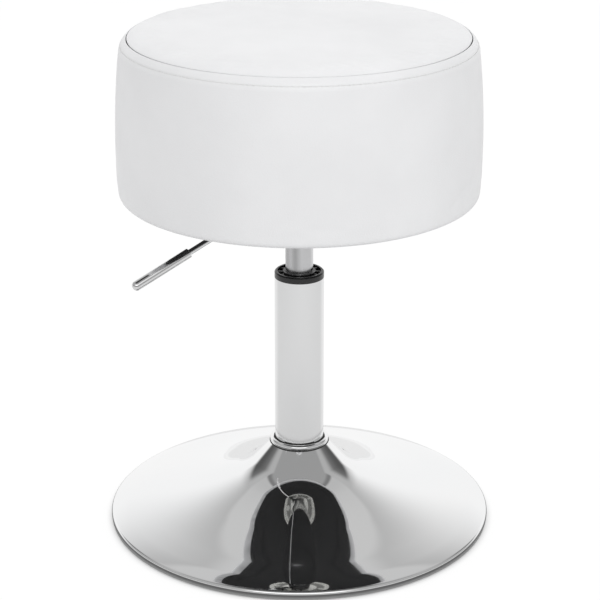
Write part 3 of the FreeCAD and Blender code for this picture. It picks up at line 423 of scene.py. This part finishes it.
SEAT_RADIUS, SEAT_BOTTOM, SEAT_FILLET = 180.0, 350.5, 6.0
BELLY_BOW, LOW_TILT, SHOULDER_TILT = 803.0, math.radians(-3.2), math.radians(6.8)
SHOULDER_BOW, SEAM_TILT = 17.0, math.radians(53.6)
CROWN_EDGE, CROWN_EDGE_RISE, CROWN_EDGE_BOW, CROWN_RISE = 150.0, 3.6, 50.0, 1.4
CROWN_BOW = (CROWN_EDGE**2 / CROWN_RISE + CROWN_RISE) / 2
BELLY_CENTRE = SEAT_RADIUS - BELLY_BOW
BELLY_HEIGHT = SEAT_BOTTOM + SEAT_FILLET - (BELLY_BOW - SEAT_FILLET) * math.sin(LOW_TILT)
# Distance along the shoulder from the seam down to the topstitching
STITCH_INSET = 8.6
STITCH_TILT = SEAM_TILT - STITCH_INSET / SHOULDER_BOW


def on_belly(bow, tilt):
    return (BELLY_CENTRE + bow * math.cos(tilt), BELLY_HEIGHT + bow * math.sin(tilt))


def shoulder_point(tilt, depth=0.0):
    centre = on_belly(BELLY_BOW - SHOULDER_BOW, SHOULDER_TILT)
    bow = SHOULDER_BOW - depth
    return (centre[0] + bow * math.cos(tilt), centre[1] + bow * math.sin(tilt))


SEAM_RADIUS, SEAM_HEIGHT = shoulder_point(SEAM_TILT)
CROWN_EDGE_HEIGHT = SEAM_HEIGHT + CROWN_EDGE_RISE

# Base

# Profiles of the dark beads above and below the ring at the column's foot, which are painted shade
# for the gaps there
LOWER_SHADE_BEAD = [
    (29.75, 79.7), (30.35, 79.9), (30.8, 80.3), (30.85, 80.7), (30.4, 81.1), (29.75, 81.2),
]
UPPER_SHADE_BEAD = [
    (25.0, 84.2), (26.1, 84.2), (26.3, 85.0), (25.9, 85.7), (25.3, 86.1), (25.0, 86.1),
]


def trumpet(depth):
    """Outline of the base shell at a depth under its polished face, from rim to neck."""
    reach = math.sqrt((SKIRT_BOW - depth) ** 2 - (RIM_WIDEST - RIM_BOTTOM) ** 2)
    radius = RIM_RADIUS - RIM_ROLL + RIM_ROLL * math.sin(RIM_ANGLE)
    height = RIM_WIDEST + RIM_ROLL * math.cos(RIM_ANGLE)
    slope = RIM_ANGLE

    def below():
        return (radius - depth * math.sin(slope), height - depth * math.cos(slope))

    items = [
        (RIM_RADIUS - SKIRT_BOW + reach, RIM_BOTTOM),
        ("arc", SKIRT_BOW - depth, 1),
        (RIM_RADIUS - depth, RIM_WIDEST),
        ("arc", RIM_ROLL - depth, 1),
        below(),
    ]
    for inner, angle, bend in BENDS:
        after = math.radians(angle)
        if bend == 0:
            height += (radius - inner) * math.tan(slope)
        else:
            bow = (radius - inner) / abs(math.sin(after) - math.sin(slope))
            height += bow * abs(math.cos(after) - math.cos(slope))
            items.append(("arc", bow + depth * bend, -bend))
        radius, slope = inner, after
        items.append(below())
    height += (radius - NECK_RADIUS) * math.tan(slope)
    drop = depth * (1 - math.sin(slope)) / math.cos(slope)
    items += [(NECK_RADIUS - depth, height - drop), (NECK_RADIUS - depth, height + NECK_COLLAR)]
    return outline(*items, step=0.8)


def make_base():
    wall = trumpet(0) + trumpet(SHELL_WALL)[::-1]
    shell = lathe("base_shell_polished", wall, steps=360, sharp=40)
    mount(shell, "base", "spun", ["base_shell"])
    # Painted shade: the beads take the black rubber finish to darken the gaps at the ring
    for name, profile in (("neck_shade_bead_lower", LOWER_SHADE_BEAD), ("neck_shade_bead_upper", UPPER_SHADE_BEAD)):
        mount(lathe(name, profile), "base", "rubber")


# Cloth and ripples

CLOTH_FRAMES = 20
WAVES, WAVE_SUM = 14, 3.7


def settle(piece, pinned, slack, pressure):
    """Inflates a sheet with Blender's cloth and returns where its points end up."""
    scene = bpy.context.scene
    group = piece.vertex_groups.new(name="pin")
    for index, weight in enumerate(pinned):
        if weight > 0:
            group.add([index], float(weight), "REPLACE")
    cloth = piece.modifiers.new("cloth", "CLOTH")
    settings = cloth.settings
    settings.quality = 6
    settings.mass = 0.35
    settings.tension_stiffness = 25
    settings.compression_stiffness = 25
    settings.shear_stiffness = 12
    settings.bending_stiffness = 1.5
    settings.tension_damping = 8
    settings.compression_damping = 8
    settings.use_pressure = True
    settings.uniform_pressure_force = pressure
    settings.shrink_min = -slack
    settings.vertex_group_mass = "pin"
    settings.effector_weights.gravity = 0
    cloth.collision_settings.use_collision = False
    cloth.point_cache.frame_start = 1
    cloth.point_cache.frame_end = CLOTH_FRAMES
    for number in range(1, CLOTH_FRAMES + 1):
        scene.frame_set(number)
    places = points_of(evaluated(piece).to_mesh())
    piece.modifiers.remove(cloth)
    piece.vertex_groups.clear()
    scene.frame_set(1)
    return places


def ripple(co, scale, seed):
    """Smooth seeded noise from a few waves, about -1 to 1."""
    rng = np.random.default_rng(seed)
    total = np.zeros(len(co))
    for _ in range(WAVES):
        way = rng.normal(size=3)
        way /= np.linalg.norm(way)
        total += np.sin(co @ way * scale * rng.uniform(0.6, 1.6) + rng.uniform(0, TURN))
    return total / WAVE_SUM


# Top panel

SEAM_STEP = 0.3
TOP_CELLS = 104
TOP_INSET = 1.3
# Height and reach of the rolls that lift the panel inside its seam, and how far in they end, in
# millimetres
TOP_ROLLS = ((1.0, 2.4), (1.5, 10.0))
ROLLS_END = 60
# Drop and inset in millimetres of the rim that is turned down into the seam
TOP_RIM = ((0.5, 0.35), (1.2, 0.9), (4.0, 1.3))
# Rings in which the mean lift is taken out: their width in millimetres, and the last one
RING_WIDTH, LAST_RING = 3, 60
# Most of a cloth run's movement that counts, and most of it that the top keeps, in metres
CLOTH_LIMIT, TOP_LIMIT = 0.006, 0.0012


def crown_height(radius):
    """Height of the crowned top over a radius, in millimetres."""
    radius = np.asarray(radius, float)
    fall = CROWN_BOW - np.sqrt(CROWN_BOW**2 - np.minimum(radius, CROWN_EDGE) ** 2)
    inner = CROWN_EDGE_HEIGHT + CROWN_RISE - fall
    low, high = (SEAM_RADIUS - 1.5, SEAM_HEIGHT + 0.2), (CROWN_EDGE, CROWN_EDGE_HEIGHT)
    bend = np.array([low] + arc(low, high, CROWN_EDGE_BOW, 1, 24) + [high])
    outer = np.interp(radius, bend[::-1, 0], bend[::-1, 1])
    return np.where(radius < CROWN_EDGE, inner, outer)


def disc(radius):
    """Points in metres and quads of a flat disc, from a square grid that is pressed round."""
    flat = np.linspace(-1, 1, TOP_CELLS + 1)
    u, v = np.meshgrid(flat, flat)
    x = u * np.sqrt(1 - v**2 / 2)
    y = v * np.sqrt(1 - u**2 / 2)
    verts = np.stack([x.ravel() * radius * MM, y.ravel() * radius * MM, np.zeros(x.size)], 1)
    row = TOP_CELLS + 1
    corners = [i * row + k for i in range(TOP_CELLS) for k in range(TOP_CELLS)]
    return verts, [(a, a + 1, a + row + 1, a + row) for a in corners]


def uneven(lift, radius):
    """What is left of a lift when the mean of each ring is taken out."""
    rings = np.clip((radius / RING_WIDTH).astype(int), 0, LAST_RING)
    numbers = np.arange(LAST_RING + 1)
    mean = [lift[rings == ring].mean() if (rings == ring).any() else 0 for ring in numbers]
    return lift - np.interp(radius, numbers * RING_WIDTH + RING_WIDTH / 2, mean)


def turn_down_rim(mesh, edge):
    """Extrudes the open edge of the top panel down into the seam."""
    shape = bmesh.new()
    shape.from_mesh(mesh)
    rim = [e for e in shape.edges if e.is_boundary]
    for drop, inward in TOP_RIM:
        made = bmesh.ops.extrude_edge_only(shape, edges=rim)["geom"]
        fresh = [g for g in made if isinstance(g, bmesh.types.BMVert)]
        rim = [g for g in made if isinstance(g, bmesh.types.BMEdge) and g.is_boundary]
        for vert in fresh:
            radius = math.hypot(vert.co.x, vert.co.y)
            share = (edge + TOP_RIM[0][1] - inward) * MM / radius
            vert.co.x *= share
            vert.co.y *= share
            vert.co.z = (SEAM_HEIGHT + SEAM_STEP - drop) * MM
    bmesh.ops.recalc_face_normals(shape, faces=shape.faces)
    shape.to_mesh(mesh)
    shape.free()


def make_top():
    edge = SEAM_RADIUS - TOP_INSET
    verts, faces = disc(edge)
    radius = np.hypot(verts[:, 0], verts[:, 1]) / MM
    inside = np.maximum(edge - radius, 0)
    roll = sum(rise * (1 - np.exp(-inside / reach)) for rise, reach in TOP_ROLLS)
    roll *= np.clip(1 - inside / ROLLS_END, 0, 1) ** 1.5
    verts[:, 2] = (crown_height(np.minimum(radius, edge)) + SEAM_STEP + roll) * MM
    piece = mesh_object("seat_top_cover", verts, faces)
    rest = points_of(piece.data)
    radius = np.hypot(rest[:, 0], rest[:, 1]) / MM
    start = rest.copy()
    dip = 0.0015 * np.clip((edge - radius) / 30, 0, 1)
    start[:, 2] += ripple(rest, scale=95.0, seed=5) * 0.0005 - dip
    put_points(piece.data, start)
    ended = settle(piece, (radius > edge - 2).astype(float), slack=0.006, pressure=3.0)
    lift = uneven(within(ended[:, 2] - start[:, 2], CLOTH_LIMIT), radius)
    fade = np.clip((edge - radius) / 10, 0, 1)
    rest[:, 2] += within(lift, TOP_LIMIT) * fade
    put_points(piece.data, rest)
    turn_down_rim(piece.data, edge)
    divide(piece)
    mount(piece, "seat", "leather", ["top_cover", "top_pad", "foam_core"])


# Side panel

# Radii of the panel's points under the seat, in millimetres
FLAP_RADII = (143.5, 150.0, 156.0, 158.0, 161.0, 164.0, 167.0)
# Height and width in millimetres of the groove under the stitches and the swell at the seam
STITCH_GROOVE, SEAM_SWELL = (0.3, 0.9), (0.15, 1.2)
# Inset and rise in millimetres of the panel's turned edge at the seam
SIDE_EDGE = ((0.3, 0.05), (0.5, -0.3), (0.6, -1.2), (0.65, -4.0))
# Distances from the seat's bottom and the seam between which the cloth run moves the panel, in
# millimetres, and most of its movement that the side keeps, in metres
SIDE_LOW, SIDE_HIGH, SIDE_LIMIT = 6, 9, 0.0009
# Radii in metres between which the pleats lie
PLEATS_INNER, PLEATS_OUTER = 0.157, 0.172


def bulge(tilt, middle, height, width):
    """A smooth bump across the shoulder, in millimetres."""
    return height * math.exp(-(((tilt - middle) * SHOULDER_BOW / width) ** 2))


def side_profile():
    """Outer face of the side panel from the flap under the seat to its turned edge."""
    flat = on_belly(BELLY_BOW - SEAT_FILLET, LOW_TILT)[0]
    lower = outline(
        (142.0, SEAT_BOTTOM + 1.0),
        *[(radius, SEAT_BOTTOM) for radius in FLAP_RADII],
        (flat, SEAT_BOTTOM),
        ("arc", SEAT_FILLET, 1),
        on_belly(BELLY_BOW, LOW_TILT),
        ("arc", BELLY_BOW, 1),
        on_belly(BELLY_BOW, SHOULDER_TILT),
        step=3.5,
    )
    shoulder = []
    for tilt in np.linspace(SHOULDER_TILT, SEAM_TILT, 26)[1:]:
        groove = bulge(tilt, STITCH_TILT, *STITCH_GROOVE)
        swell = bulge(tilt, SEAM_TILT, *SEAM_SWELL)
        shoulder.append(shoulder_point(tilt, groove - swell))
    edge = [(SEAM_RADIUS - inset, SEAM_HEIGHT + rise) for inset, rise in SIDE_EDGE]
    return lower + shoulder + edge


def make_side():
    piece = lathe("seat_side_cover", side_profile(), steps=288, closed=False, sharp=0)
    rest = points_of(piece.data)
    height = rest[:, 2] / MM
    radius = np.hypot(rest[:, 0], rest[:, 1])
    out = rest[:, :2] / radius[:, None]
    band = (height > SEAT_BOTTOM + SIDE_LOW) & (height < SEAM_HEIGHT - SIDE_HIGH)
    band &= radius > 0.165
    start = rest.copy()
    push = (ripple(rest, scale=42.0, seed=11) * 0.0006 - 0.001) * band
    start[:, :2] += out * push[:, None]
    put_points(piece.data, start)
    ended = settle(piece, (~band).astype(float), slack=0.004, pressure=2.5)
    swell = within(((ended - start)[:, :2] * out).sum(1), CLOTH_LIMIT)
    levels = np.round(height / 3).astype(int)
    mean = {level: swell[(levels == level)].mean() for level in np.unique(levels)}
    swell -= np.array([mean[level] for level in levels])
    fade = np.clip((height - SEAT_BOTTOM - SIDE_LOW) / 14, 0, 1)
    fade *= np.clip((SEAM_HEIGHT - SIDE_HIGH - height) / 12, 0, 1)
    rest[:, :2] += out * (within(swell, SIDE_LIMIT) * fade * band)[:, None]
    # Pleats where the leather is drawn in under the seat
    turn = np.arctan2(rest[:, 1], rest[:, 0])
    under = (height < SEAT_BOTTOM + 3) & (radius < PLEATS_OUTER) & (radius > PLEATS_INNER)
    folds = np.sin(turn * 46 + 2.0 * np.sin(turn * 5)) + 0.6 * np.sin(turn * 83 + 1.3)
    fade = np.clip((PLEATS_OUTER - radius) / 0.008, 0, 1)
    rest[:, 2] -= under * fade * (0.0004 + 0.00022 * folds)
    put_points(piece.data, rest)
    divide(piece)
    mount(piece, "seat", "leather", ["side_cover", "side_foam"])


# Topstitching, in metres

STITCHES = 216
STITCH_LENGTH = 0.74
THREAD_RINGS, THREAD_SIDES = 9, 6
THREAD_RADIUS, THREAD_SINK, THREAD_TWIST = 0.00034, 0.00022, 5
HOLE_SIDES = 8
# Radius and height of each ring of a needle hole
HOLE_RINGS = ((0.00045, 0.00010), (0.0003, -0.00005), (0.0001, -0.00012))


def make_stitches():
    """A row of topstitching on the shoulder: threads, and the needle holes between them, darkened
    with painted shade.
    """
    centre = np.array(shoulder_point(STITCH_TILT, 0.25)) * MM
    normal = np.array([math.cos(STITCH_TILT), math.sin(STITCH_TILT)])

    def on_row(angle, across, up):
        """A point at an angle about Z, across the row and above it."""
        r = centre[0] + normal[0] * up - normal[1] * across
        z = centre[1] + normal[1] * up + normal[0] * across
        return (r * math.cos(angle), r * math.sin(angle), z)

    verts, faces = [], []
    holes, hole_faces = [], []
    rng = np.random.default_rng(7)
    pitch = TURN / STITCHES
    for index in range(STITCHES):
        middle = index * pitch + rng.uniform(-0.04, 0.04) * pitch
        length = pitch * (STITCH_LENGTH + rng.uniform(-0.03, 0.03))
        faces += rod_faces(THREAD_RINGS, THREAD_SIDES, len(verts))
        for i in range(THREAD_RINGS):
            share = i / (THREAD_RINGS - 1)
            angle = middle + (share - 0.5) * length
            arch = math.sin(math.pi * share)
            rise = THREAD_RADIUS * arch**0.6 - THREAD_SINK
            thick = THREAD_RADIUS * (0.6 + 0.4 * arch)
            for k in range(THREAD_SIDES):
                t = k * TURN / THREAD_SIDES + share * THREAD_TWIST
                up = math.sin(t) * thick * 0.9 + rise
                verts.append(on_row(angle, math.cos(t) * thick, up))
        first = len(holes)
        last = first + (len(HOLE_RINGS) - 1) * HOLE_SIDES
        hole_faces += tube_faces(len(HOLE_RINGS), HOLE_SIDES, first)
        hole_faces.append(tuple(range(last, last + HOLE_SIDES)))
        for ring_radius, up in HOLE_RINGS:
            for k in range(HOLE_SIDES):
                t = k * TURN / HOLE_SIDES
                angle = middle + pitch / 2 + math.sin(t) * ring_radius * 0.8 / centre[0]
                holes.append(on_row(angle, math.cos(t) * ring_radius, up))
    mount(mesh_object("seat_topstitch", verts, faces), "seat", "thread")
    needles = mesh_object("seat_needle_holes", holes, hole_faces)
    mount(needles, "seat", "needle")


# Dust cover, in millimetres

COVER_SHIFT = 4.0
COVER_LOW, COVER_BOARD = SEAT_BOTTOM - 1.1, SEAT_BOTTOM + 0.4
# Radii of the cloth's points over the board and over the turned-in leather
BOARD_RADII = (20, 30, 42, 56, 72, 90, 108, 122, 130)
LEATHER_RADII = (140, 144, 148, 153, 158)
STAPLES, STAPLE_RADIUS, STAPLE_HEIGHT = 48, 155.0, SEAT_BOTTOM - 1.4
STAPLE_PATH = [
    (-5.2, 0.9), (-5.2, -0.15), (-4.8, -0.55), (0, -0.62), (4.8, -0.55), (5.2, -0.15), (5.2, 0.9),
]
STAPLE_SECTION = ((-0.6, -0.25), (0.6, -0.25), (0.6, 0.25), (-0.6, 0.25))


def make_dust_cover():
    """Black cloth over the board and the leather's edge, puckered where it is stapled."""
    low, board = COVER_LOW, COVER_BOARD
    profile = [(14.5, board + 0.6), (14.5, board)] + [(r, board) for r in BOARD_RADII]
    profile += [(132, board - 0.3), (135, low)] + [(r, low) for r in LEATHER_RADII]
    profile += [(160, low - 0.1), (161, low + 0.25), (160.6, low + 0.6)]
    piece = lathe("dust_cover_cloth", profile, steps=240, closed=False, sharp=0)
    co = points_of(piece.data)
    radius = np.hypot(co[:, 0], co[:, 1])
    turn = np.arctan2(co[:, 1], co[:, 0])
    pucker = np.exp(-(((radius - STAPLE_RADIUS * MM) / 0.006) ** 2))
    pucker *= 0.5 + 0.5 * np.cos(turn * STAPLES)
    sag = np.clip((radius - 0.02) / 0.05, 0, 1) * np.clip((0.130 - radius) / 0.03, 0, 1)
    co[:, 2] -= pucker * 0.0004 + sag * (0.0008 + 0.0006 * ripple(co, scale=60.0, seed=3))
    co[:, 0] += COVER_SHIFT * MM * np.clip((radius - 0.02) / 0.1, 0, 1)
    put_points(piece.data, co)
    mount(piece, "seat", "cloth", ["dust_cover"])


def make_staples():
    verts, faces = [], []
    rng = np.random.default_rng(4)
    for index in range(STAPLES):
        angle = index * TURN / STAPLES + rng.uniform(-0.006, 0.006)
        radius = STAPLE_RADIUS + rng.uniform(-0.8, 0.8)
        lean = rng.uniform(-0.12, 0.12)
        faces += rod_faces(len(STAPLE_PATH), len(STAPLE_SECTION), len(verts))
        for along, rise in STAPLE_PATH:
            for side, up in STAPLE_SECTION:
                r = radius + side * math.cos(lean) + along * math.sin(lean)
                a = angle + (along * math.cos(lean) - side * math.sin(lean)) / radius
                x = r * math.cos(a) + COVER_SHIFT
                verts.append((x * MM, r * MM * math.sin(a), (STAPLE_HEIGHT + rise + up) * MM))
    piece = mesh_object("dust_cover_staples", verts, faces, sharp=40)
    mount(piece, "seat", "staple")


# Nodes that are carried over from the CAD as they are

NODE_FINISHES = {
    "rubber": ["floor_ring", "piston_ring", "rod_bumper", "rod_seal"],
    "paint": ["base_plate", "column_foot", "seat_hub", "lever_rocker"],
    "zinc": ["base_bolts", "base_washers", "plate_screws", "tee_nuts", "lever_bracket"],
    "chrome": ["column_tube", "neck_ring", "lever_rod"],
    "grip": ["lever_grip"],
    "satin": ["pressure_tube"],
    "pressed": ["seat_plate"],
    "plastic": ["column_bush", "bearing_cage"],
    "alloy": ["piston_head", "rod_guide", "valve_body"],
    "wood": ["bottom_board"],
    "steel": [
        "bearing_lower_race",
        "bearing_upper_race",
        "bearing_balls",
        "piston_rod",
        "piston_nut",
        "rod_clip",
        "thrust_washer",
        "lever_pivot_pin",
        "pivot_clips",
        "release_pin",
    ],
}


def finish_nodes():
    for finish, names in NODE_FINISHES.items():
        for name in names:
            paint_piece(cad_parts[name], finish)


# Floor and mirrored studio

FLOOR_HALF = 6.0
# Distance in metres from the column at which the floor comes out from the base's contact shadow,
# which is painted into the floor's glow in reflections
CONTACT_SPAN = (0.206, 0.228)
# For the camera: brightness of the floor's glow, and its share over the lit floor
CAMERA_GLOW, CAMERA_SHARE = 1.08, 0.82
# Strength of the world as light, and as the backdrop that the camera sees
DAYLIGHT, BACKDROP = 0.81, 1.0


def make_stage():
    """A pale floor that keeps the soft shadow, and is seen and mirrored as a white sweep, with a
    painted contact shadow at the base's foot in reflections.
    """
    corners = ((-1, -1), (1, -1), (1, 1), (-1, 1))
    verts = [(x * FLOOR_HALF, y * FLOOR_HALF, 0) for x, y in corners]
    floor = mesh_object("stage_floor", verts, [(0, 1, 2, 3)])
    material = bpy.data.materials.new("stage_floor")
    floor.data.materials.append(material)
    graph = Graph(material)
    graph.tree.nodes.clear()
    camera, mirrored = graph.rays()
    place = graph.node("ShaderNodeTexCoord").outputs["Object"]
    reach = graph.length(place)
    behind = graph.math("DIVIDE", graph.node("ShaderNodeSeparateXYZ", place).outputs["Y"], reach)
    # Brightness in reflections, higher towards the back, and low at the foot of the base as a
    # painted contact shadow
    near = graph.step(behind, (0.3, 0.8), (0.77, 1.25))
    far = graph.step(behind, (0.1, 0.5), (0.35, 1.60))
    away = graph.step(reach, (0.75, 1.15), (near, far))
    away = graph.math("MULTIPLY", away, graph.step(reach, CONTACT_SPAN, (0.10, 1.0)))
    level = graph.mix(camera, away, CAMERA_GLOW)
    lit = graph.node("ShaderNodeBsdfDiffuse", (0.8, 0.8, 0.8, 1)).outputs[0]
    glow = graph.node("ShaderNodeEmission", Strength=level).outputs[0]
    # Share of that glow over the lit floor, none of it under the base
    # Near the base, mirrored rays see mostly that dimmed glow, which paints the contact shadow
    solid = graph.step(reach, CONTACT_SPAN, (0.9, 0.3))
    seen = graph.mix(camera, graph.math("MULTIPLY", mirrored, solid), CAMERA_SHARE)
    share = graph.math("MULTIPLY", seen, graph.step(reach, (0.19, 0.204), (0.0, 1.0)))
    graph.node("ShaderNodeOutputMaterial", graph.shade(share, lit, glow))


def mirrored_studio(graph):
    """Brightness of the made-up studio that polished metal mirrors.

    Turn is the direction's angle from straight behind the object, rise its angle above the
    horizon, both in degrees.
    """
    way = graph.node("ShaderNodeSeparateXYZ", graph.node("ShaderNodeTexCoord").outputs["Generated"])
    x, y, z = way.outputs["X"], way.outputs["Y"], way.outputs["Z"]
    degrees = 180 / math.pi
    turn = graph.math("MULTIPLY", graph.math("ARCTAN2", graph.math("ABSOLUTE", x), y), degrees)
    rise = graph.math("MULTIPLY", graph.math("ARCSINE", z), degrees)
    # White sweep behind the object, falling off upwards and to the sides
    beside = graph.beyond(turn, graph.step(rise, (10.0, 22.0), (52.0, 34.0)), 20.0)
    above = graph.beyond(rise, 21.0, 28.0)
    squares = [graph.math("MULTIPLY", side, side) for side in (beside, above)]
    reach = graph.math("SQRT", graph.math("ADD", *squares))
    sweep = graph.step(reach, (0.0, 1.0), (1.03, 0.50))
    # Grey walls beside it, with a dark opening
    grey = graph.step(rise, (2.0, 10.0), (0.24, 0.47))
    walls = graph.step(turn, (60.0, 90.0), (sweep, grey))
    leaning = graph.math("SUBTRACT", turn, graph.math("MULTIPLY", rise, 1.6))
    left = graph.step(turn, (46.0, 55.0), (0.0, 1.0))
    right = graph.step(leaning, (20.0, 27.0), (1.0, 0.0))
    low = graph.step(rise, (15.0, 21.0), (0.0, 1.0))
    high = graph.step(rise, (34.0, 43.0), (1.0, 0.0))
    sides, ends = graph.math("MULTIPLY", left, right), graph.math("MULTIPLY", low, high)
    dark = graph.step(rise, (24.0, 40.0), (0.10, 0.20))
    walls = graph.mix(graph.math("MULTIPLY", sides, ends), walls, dark)
    # Front of the room with a long window
    window = graph.step(rise, (8.0, 17.0), (0.08, 1.45))
    window = graph.step(rise, (36.0, 46.0), (window, 0.36))
    room = graph.step(turn, (142.0, 158.0), (walls, window))
    # Ceiling, darker across the middle, and dark straight overhead
    ceiling = graph.step(turn, (20.0, 72.0), (0.62, 0.53))
    ceiling = graph.step(turn, (79.0, 87.0), (ceiling, 0.22))
    ceiling = graph.step(turn, (89.0, 100.0), (ceiling, 0.355))
    level = graph.step(rise, (45.5, 48.5), (room, ceiling))
    return graph.step(rise, (64.0, 72.0), (level, 0.04))


def make_world():
    """Even studio light, a white backdrop for the camera, and a studio for polished metal."""
    world = bpy.data.worlds.new("studio")
    bpy.context.scene.world = world
    graph = Graph(world)
    graph.tree.nodes.clear()
    camera, glossy = graph.rays()
    soft, mirrored, seen = [
        graph.node("ShaderNodeBackground", (1, 1, 1, 1), level).outputs[0]
        for level in (DAYLIGHT, mirrored_studio(graph), BACKDROP)
    ]
    first = graph.shade(glossy, soft, mirrored)
    graph.node("ShaderNodeOutputWorld", graph.shade(camera, first, seen))


# Lights and camera

CAMERA_PLACE = (0, -1.83735, 0.9272)
# Angle in radians at which the camera looks down
CAMERA_PITCH = 0.3602
FOCAL_LENGTH, SENSOR_WIDTH = 116.25, 36
# Shift of the picture's centre, in picture widths
CAMERA_SHIFT = 0.7 / 600


def lamp(name, place, target, size, power):
    """A square softbox that polished metal doesn't mirror."""
    light = bpy.data.lights.new(name, "AREA")
    light.shape = "RECTANGLE"
    light.size = light.size_y = size
    light.energy = power
    item = add_object(name, light)
    item.location = place
    aim = Vector(target) - Vector(place)
    item.rotation_euler = aim.to_track_quat("-Z", "Y").to_euler()
    item.visible_glossy = False


def make_camera():
    camera = bpy.data.cameras.new("camera")
    camera.sensor_width = SENSOR_WIDTH
    camera.lens = FOCAL_LENGTH
    camera.shift_x = CAMERA_SHIFT
    camera.clip_start = 0.05
    camera.clip_end = 50
    item = add_object("camera", camera)
    item.location = CAMERA_PLACE
    item.rotation_euler = (math.pi / 2 - CAMERA_PITCH, 0, 0)
    bpy.context.scene.camera = item


make_leather()
make_pressed()
make_nonmetal_finishes()
make_metal_finishes()
make_base()
make_top()
make_side()
make_stitches()
make_dust_cover()
make_staples()
finish_nodes()
make_stage()
make_world()
lamp("key_softbox", (0.4, -1.8, 1.5), (0, 0, 0.4), 1.2, 9.2)
lamp("top_softbox", (0.0, 0.55, 1.9), (0, 0, 0.5), 0.7, 3.0)
make_camera()
bpy.context.scene.view_settings.view_transform = "Standard"
